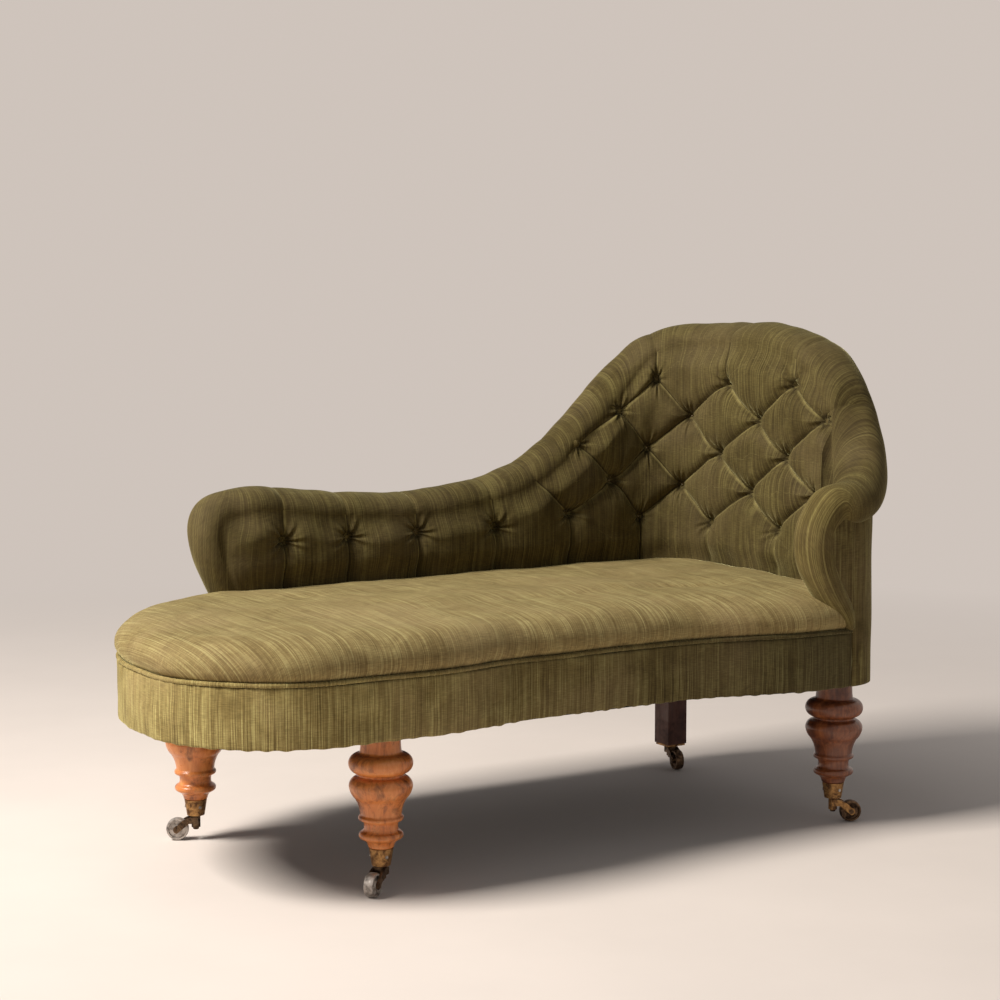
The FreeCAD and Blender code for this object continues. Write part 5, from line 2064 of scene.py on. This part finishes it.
@dataclass(frozen=True)
class Lamp:
    """Soft rectangular lamp: where it stands, what it is aimed at, its size in metres and its watts."""

    name: str
    place: Triple
    target: Triple
    size: tuple[float, float]
    power: float
    colour: Triple = (1.0, 1.0, 1.0)

    def build(self) -> None:
        """Adds the lamp to the scene."""
        data = bpy.data.lights.new(self.name, "AREA")
        data.shape = "RECTANGLE"
        data.size, data.size_y = self.size
        data.energy = self.power
        data.color = self.colour
        lamp = bpy.data.objects.new(self.name, data)
        bpy.context.scene.collection.objects.link(lamp)
        lamp.location = self.place
        aim = mathutils.Vector(self.target) - mathutils.Vector(self.place)
        lamp.rotation_euler = aim.to_track_quat("-Z", "Y").to_euler()


@dataclass
class Studio:
    """Pale floor, soft light from the left and the photograph's camera."""

    lamps: tuple[Lamp, ...] = (
        Lamp("window", (-3.8, 0.5, 4.4), (0.0, 0.0, 0.45), (1.8, 1.8), 460.0, (1.0, 0.97, 0.93)),
        Lamp("front fill", (0.6, -4.2, 2.2), (0.1, 0.0, 0.5), (2.6, 2.0), 3.0),
    )
    floor_half: float = 30.0
    floor_drop: float = 0.0003
    floor_near: float = 0.8
    floor_far: float = 3.4
    floor_colour: Triple = (0.78, 0.69, 0.62)
    room_colour: Triple = (0.62, 0.55, 0.50)
    fill: float = 0.20
    fill_colour: Triple = (0.94, 0.96, 1.0)
    eye: Triple = (-1.9275, -3.091, 0.907)
    look: Triple = (0.5304, 0.8427, -0.0921)
    lens: float = 77.4
    sensor: float = 36.0

    def floor(self) -> bpy.types.Object:
        """Flat floor just under the wheels.

        Returns:
            The floor.
        """
        h, z = self.floor_half, -self.floor_drop
        corners = np.array([(-h, -h, z), (h, -h, z), (h, h, z), (-h, h, z)]) / MM
        plane = new_piece("floor", corners, np.array([[0, 1, 2, 3]]))
        n = Nodes("floor")
        place = n.coordinates(own_map=False)
        cloud = n.noise(place, 1.6, 5.0, 0.6)
        low = tuple(c * 0.95 for c in self.floor_colour)
        n.link(n.ramp(cloud, [(0.35, low), (0.65, self.floor_colour)]), n.shader.inputs["Base Color"])
        n.set(Roughness=0.8, Specular_IOR_Level=0.2)
        gap = n.tree.nodes.new("ShaderNodeVectorMath")
        gap.operation = "LENGTH"
        n.link(place, gap.inputs[0])
        far = n.spread(gap.outputs["Value"], self.floor_near, self.floor_far, 0.0, 1.0)
        far = n.math("MULTIPLY", far, self.seen_rays(n.tree))
        glow = n.tree.nodes.new("ShaderNodeEmission")
        glow.inputs["Color"].default_value = (*self.room_colour, 1.0)
        blend = n.tree.nodes.new("ShaderNodeMixShader")
        n.link(far, blend.inputs["Fac"])
        n.link(n.shader.outputs["BSDF"], blend.inputs[1])
        n.link(glow.outputs["Emission"], blend.inputs[2])
        n.link(blend.outputs["Shader"], n.output.inputs["Surface"])
        plane.data.materials.append(n.material)
        return plane

    @staticmethod
    def seen_rays(tree: bpy.types.NodeTree) -> Socket:
        """1 for rays from the camera, from gloss and through glass, and 0 for light on surfaces.

        Args:
            tree: node tree that the light path goes into.

        Returns:
            Socket of 0 or 1.
        """
        path = tree.nodes.new("ShaderNodeLightPath")
        pair = tree.nodes.new("ShaderNodeMath")
        pair.operation = "MAXIMUM"
        every = tree.nodes.new("ShaderNodeMath")
        every.operation = "MAXIMUM"
        tree.links.new(path.outputs["Is Camera Ray"], pair.inputs[0])
        tree.links.new(path.outputs["Is Glossy Ray"], pair.inputs[1])
        tree.links.new(pair.outputs[0], every.inputs[0])
        tree.links.new(path.outputs["Is Transmission Ray"], every.inputs[1])
        return every.outputs[0]

    def world(self) -> None:
        """Pale room seen by the camera and in reflections; a weaker fill lights the object."""
        world = bpy.data.worlds.new("room")
        bpy.context.scene.world = world
        world.use_nodes = True
        tree = world.node_tree
        tree.nodes.clear()
        output = tree.nodes.new("ShaderNodeOutputWorld")
        shown = tree.nodes.new("ShaderNodeBackground")
        shown.inputs["Color"].default_value = (*self.room_colour, 1.0)
        lit = tree.nodes.new("ShaderNodeBackground")
        lit.inputs["Color"].default_value = (*self.fill_colour, 1.0)
        lit.inputs["Strength"].default_value = self.fill
        mix = tree.nodes.new("ShaderNodeMixShader")
        tree.links.new(self.seen_rays(tree), mix.inputs["Fac"])
        tree.links.new(lit.outputs["Background"], mix.inputs[1])
        tree.links.new(shown.outputs["Background"], mix.inputs[2])
        tree.links.new(mix.outputs["Shader"], output.inputs["Surface"])

    def camera(self) -> None:
        """Camera at the photograph's angle."""
        data = bpy.data.cameras.new("camera")
        data.lens = self.lens
        data.sensor_width = self.sensor
        data.sensor_fit = "HORIZONTAL"
        camera = bpy.data.objects.new("camera", data)
        bpy.context.scene.collection.objects.link(camera)
        camera.location = self.eye
        camera.rotation_euler = mathutils.Vector(self.look).to_track_quat("-Z", "Y").to_euler()
        bpy.context.scene.camera = camera

    def build(self) -> None:
        """The whole room."""
        self.floor()
        self.world()
        for lamp in self.lamps:
            lamp.build()
        self.camera()
        bpy.context.scene.view_settings.view_transform = "Standard"


def main() -> None:
    """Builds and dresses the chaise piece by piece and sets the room."""
    logging.basicConfig(level=logging.INFO, format="%(message)s")
    velvet = Velvet("striped velvet").build()
    # The back's cloth, with painted highlights below the folds, painted shade in folds and pits and a paler
    # arm end.
    buttoned_velvet = Velvet(
        "buttoned velvet",
        middle=(0.078, 0.056, 0.017),
        pale=(0.180, 0.145, 0.049),
        worn=(0.128, 0.090, 0.039),
        painted_fold_light_and_shade=True,
    ).build()
    seat_velvet = Velvet(
        "seat velvet",
        dark=(0.120, 0.078, 0.028),
        middle=(0.250, 0.180, 0.070),
        pale=(0.460, 0.385, 0.165),
        worn=(0.330, 0.235, 0.110),
    ).build()
    # Paler copy of the cloth for the border: partly the pile's lie, partly painted light where the lamp
    # falls on the border, with painted light at the foot end and painted shade at the head end.
    border_velvet_painted_lighter = Velvet(
        "border velvet painted lighter",
        dark=(0.060, 0.040, 0.013),
        middle=(0.165, 0.122, 0.042),
        pale=(0.380, 0.325, 0.130),
        worn=(0.250, 0.180, 0.080),
        sheen=0.6,
        painted_end_light_and_shade=0.6,
    ).build()
    form = BackForm()
    plan = SeatPlan()
    back = StuffedBack(form)
    border = SeatBorder(plan)
    HardParts(frame["nodes"]).dress(velvet)
    LOG.info("hard parts dressed: %d", len(frame["nodes"]))
    for piece in (
        back.build(buttoned_velvet),
        CoveredButtons(back).build(velvet),
        SeatCover(plan, form).build(seat_velvet),
        border.build_border(border_velvet_painted_lighter),
        border.build_welt(border_velvet_painted_lighter),
        OutsideCover(back).build(velvet),
    ):
        LOG.info("%s: %d faces", piece.name, len(piece.data.polygons))
    Studio().build()
    LOG.info("studio set")
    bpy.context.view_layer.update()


if __name__ == "__main__":
    main()
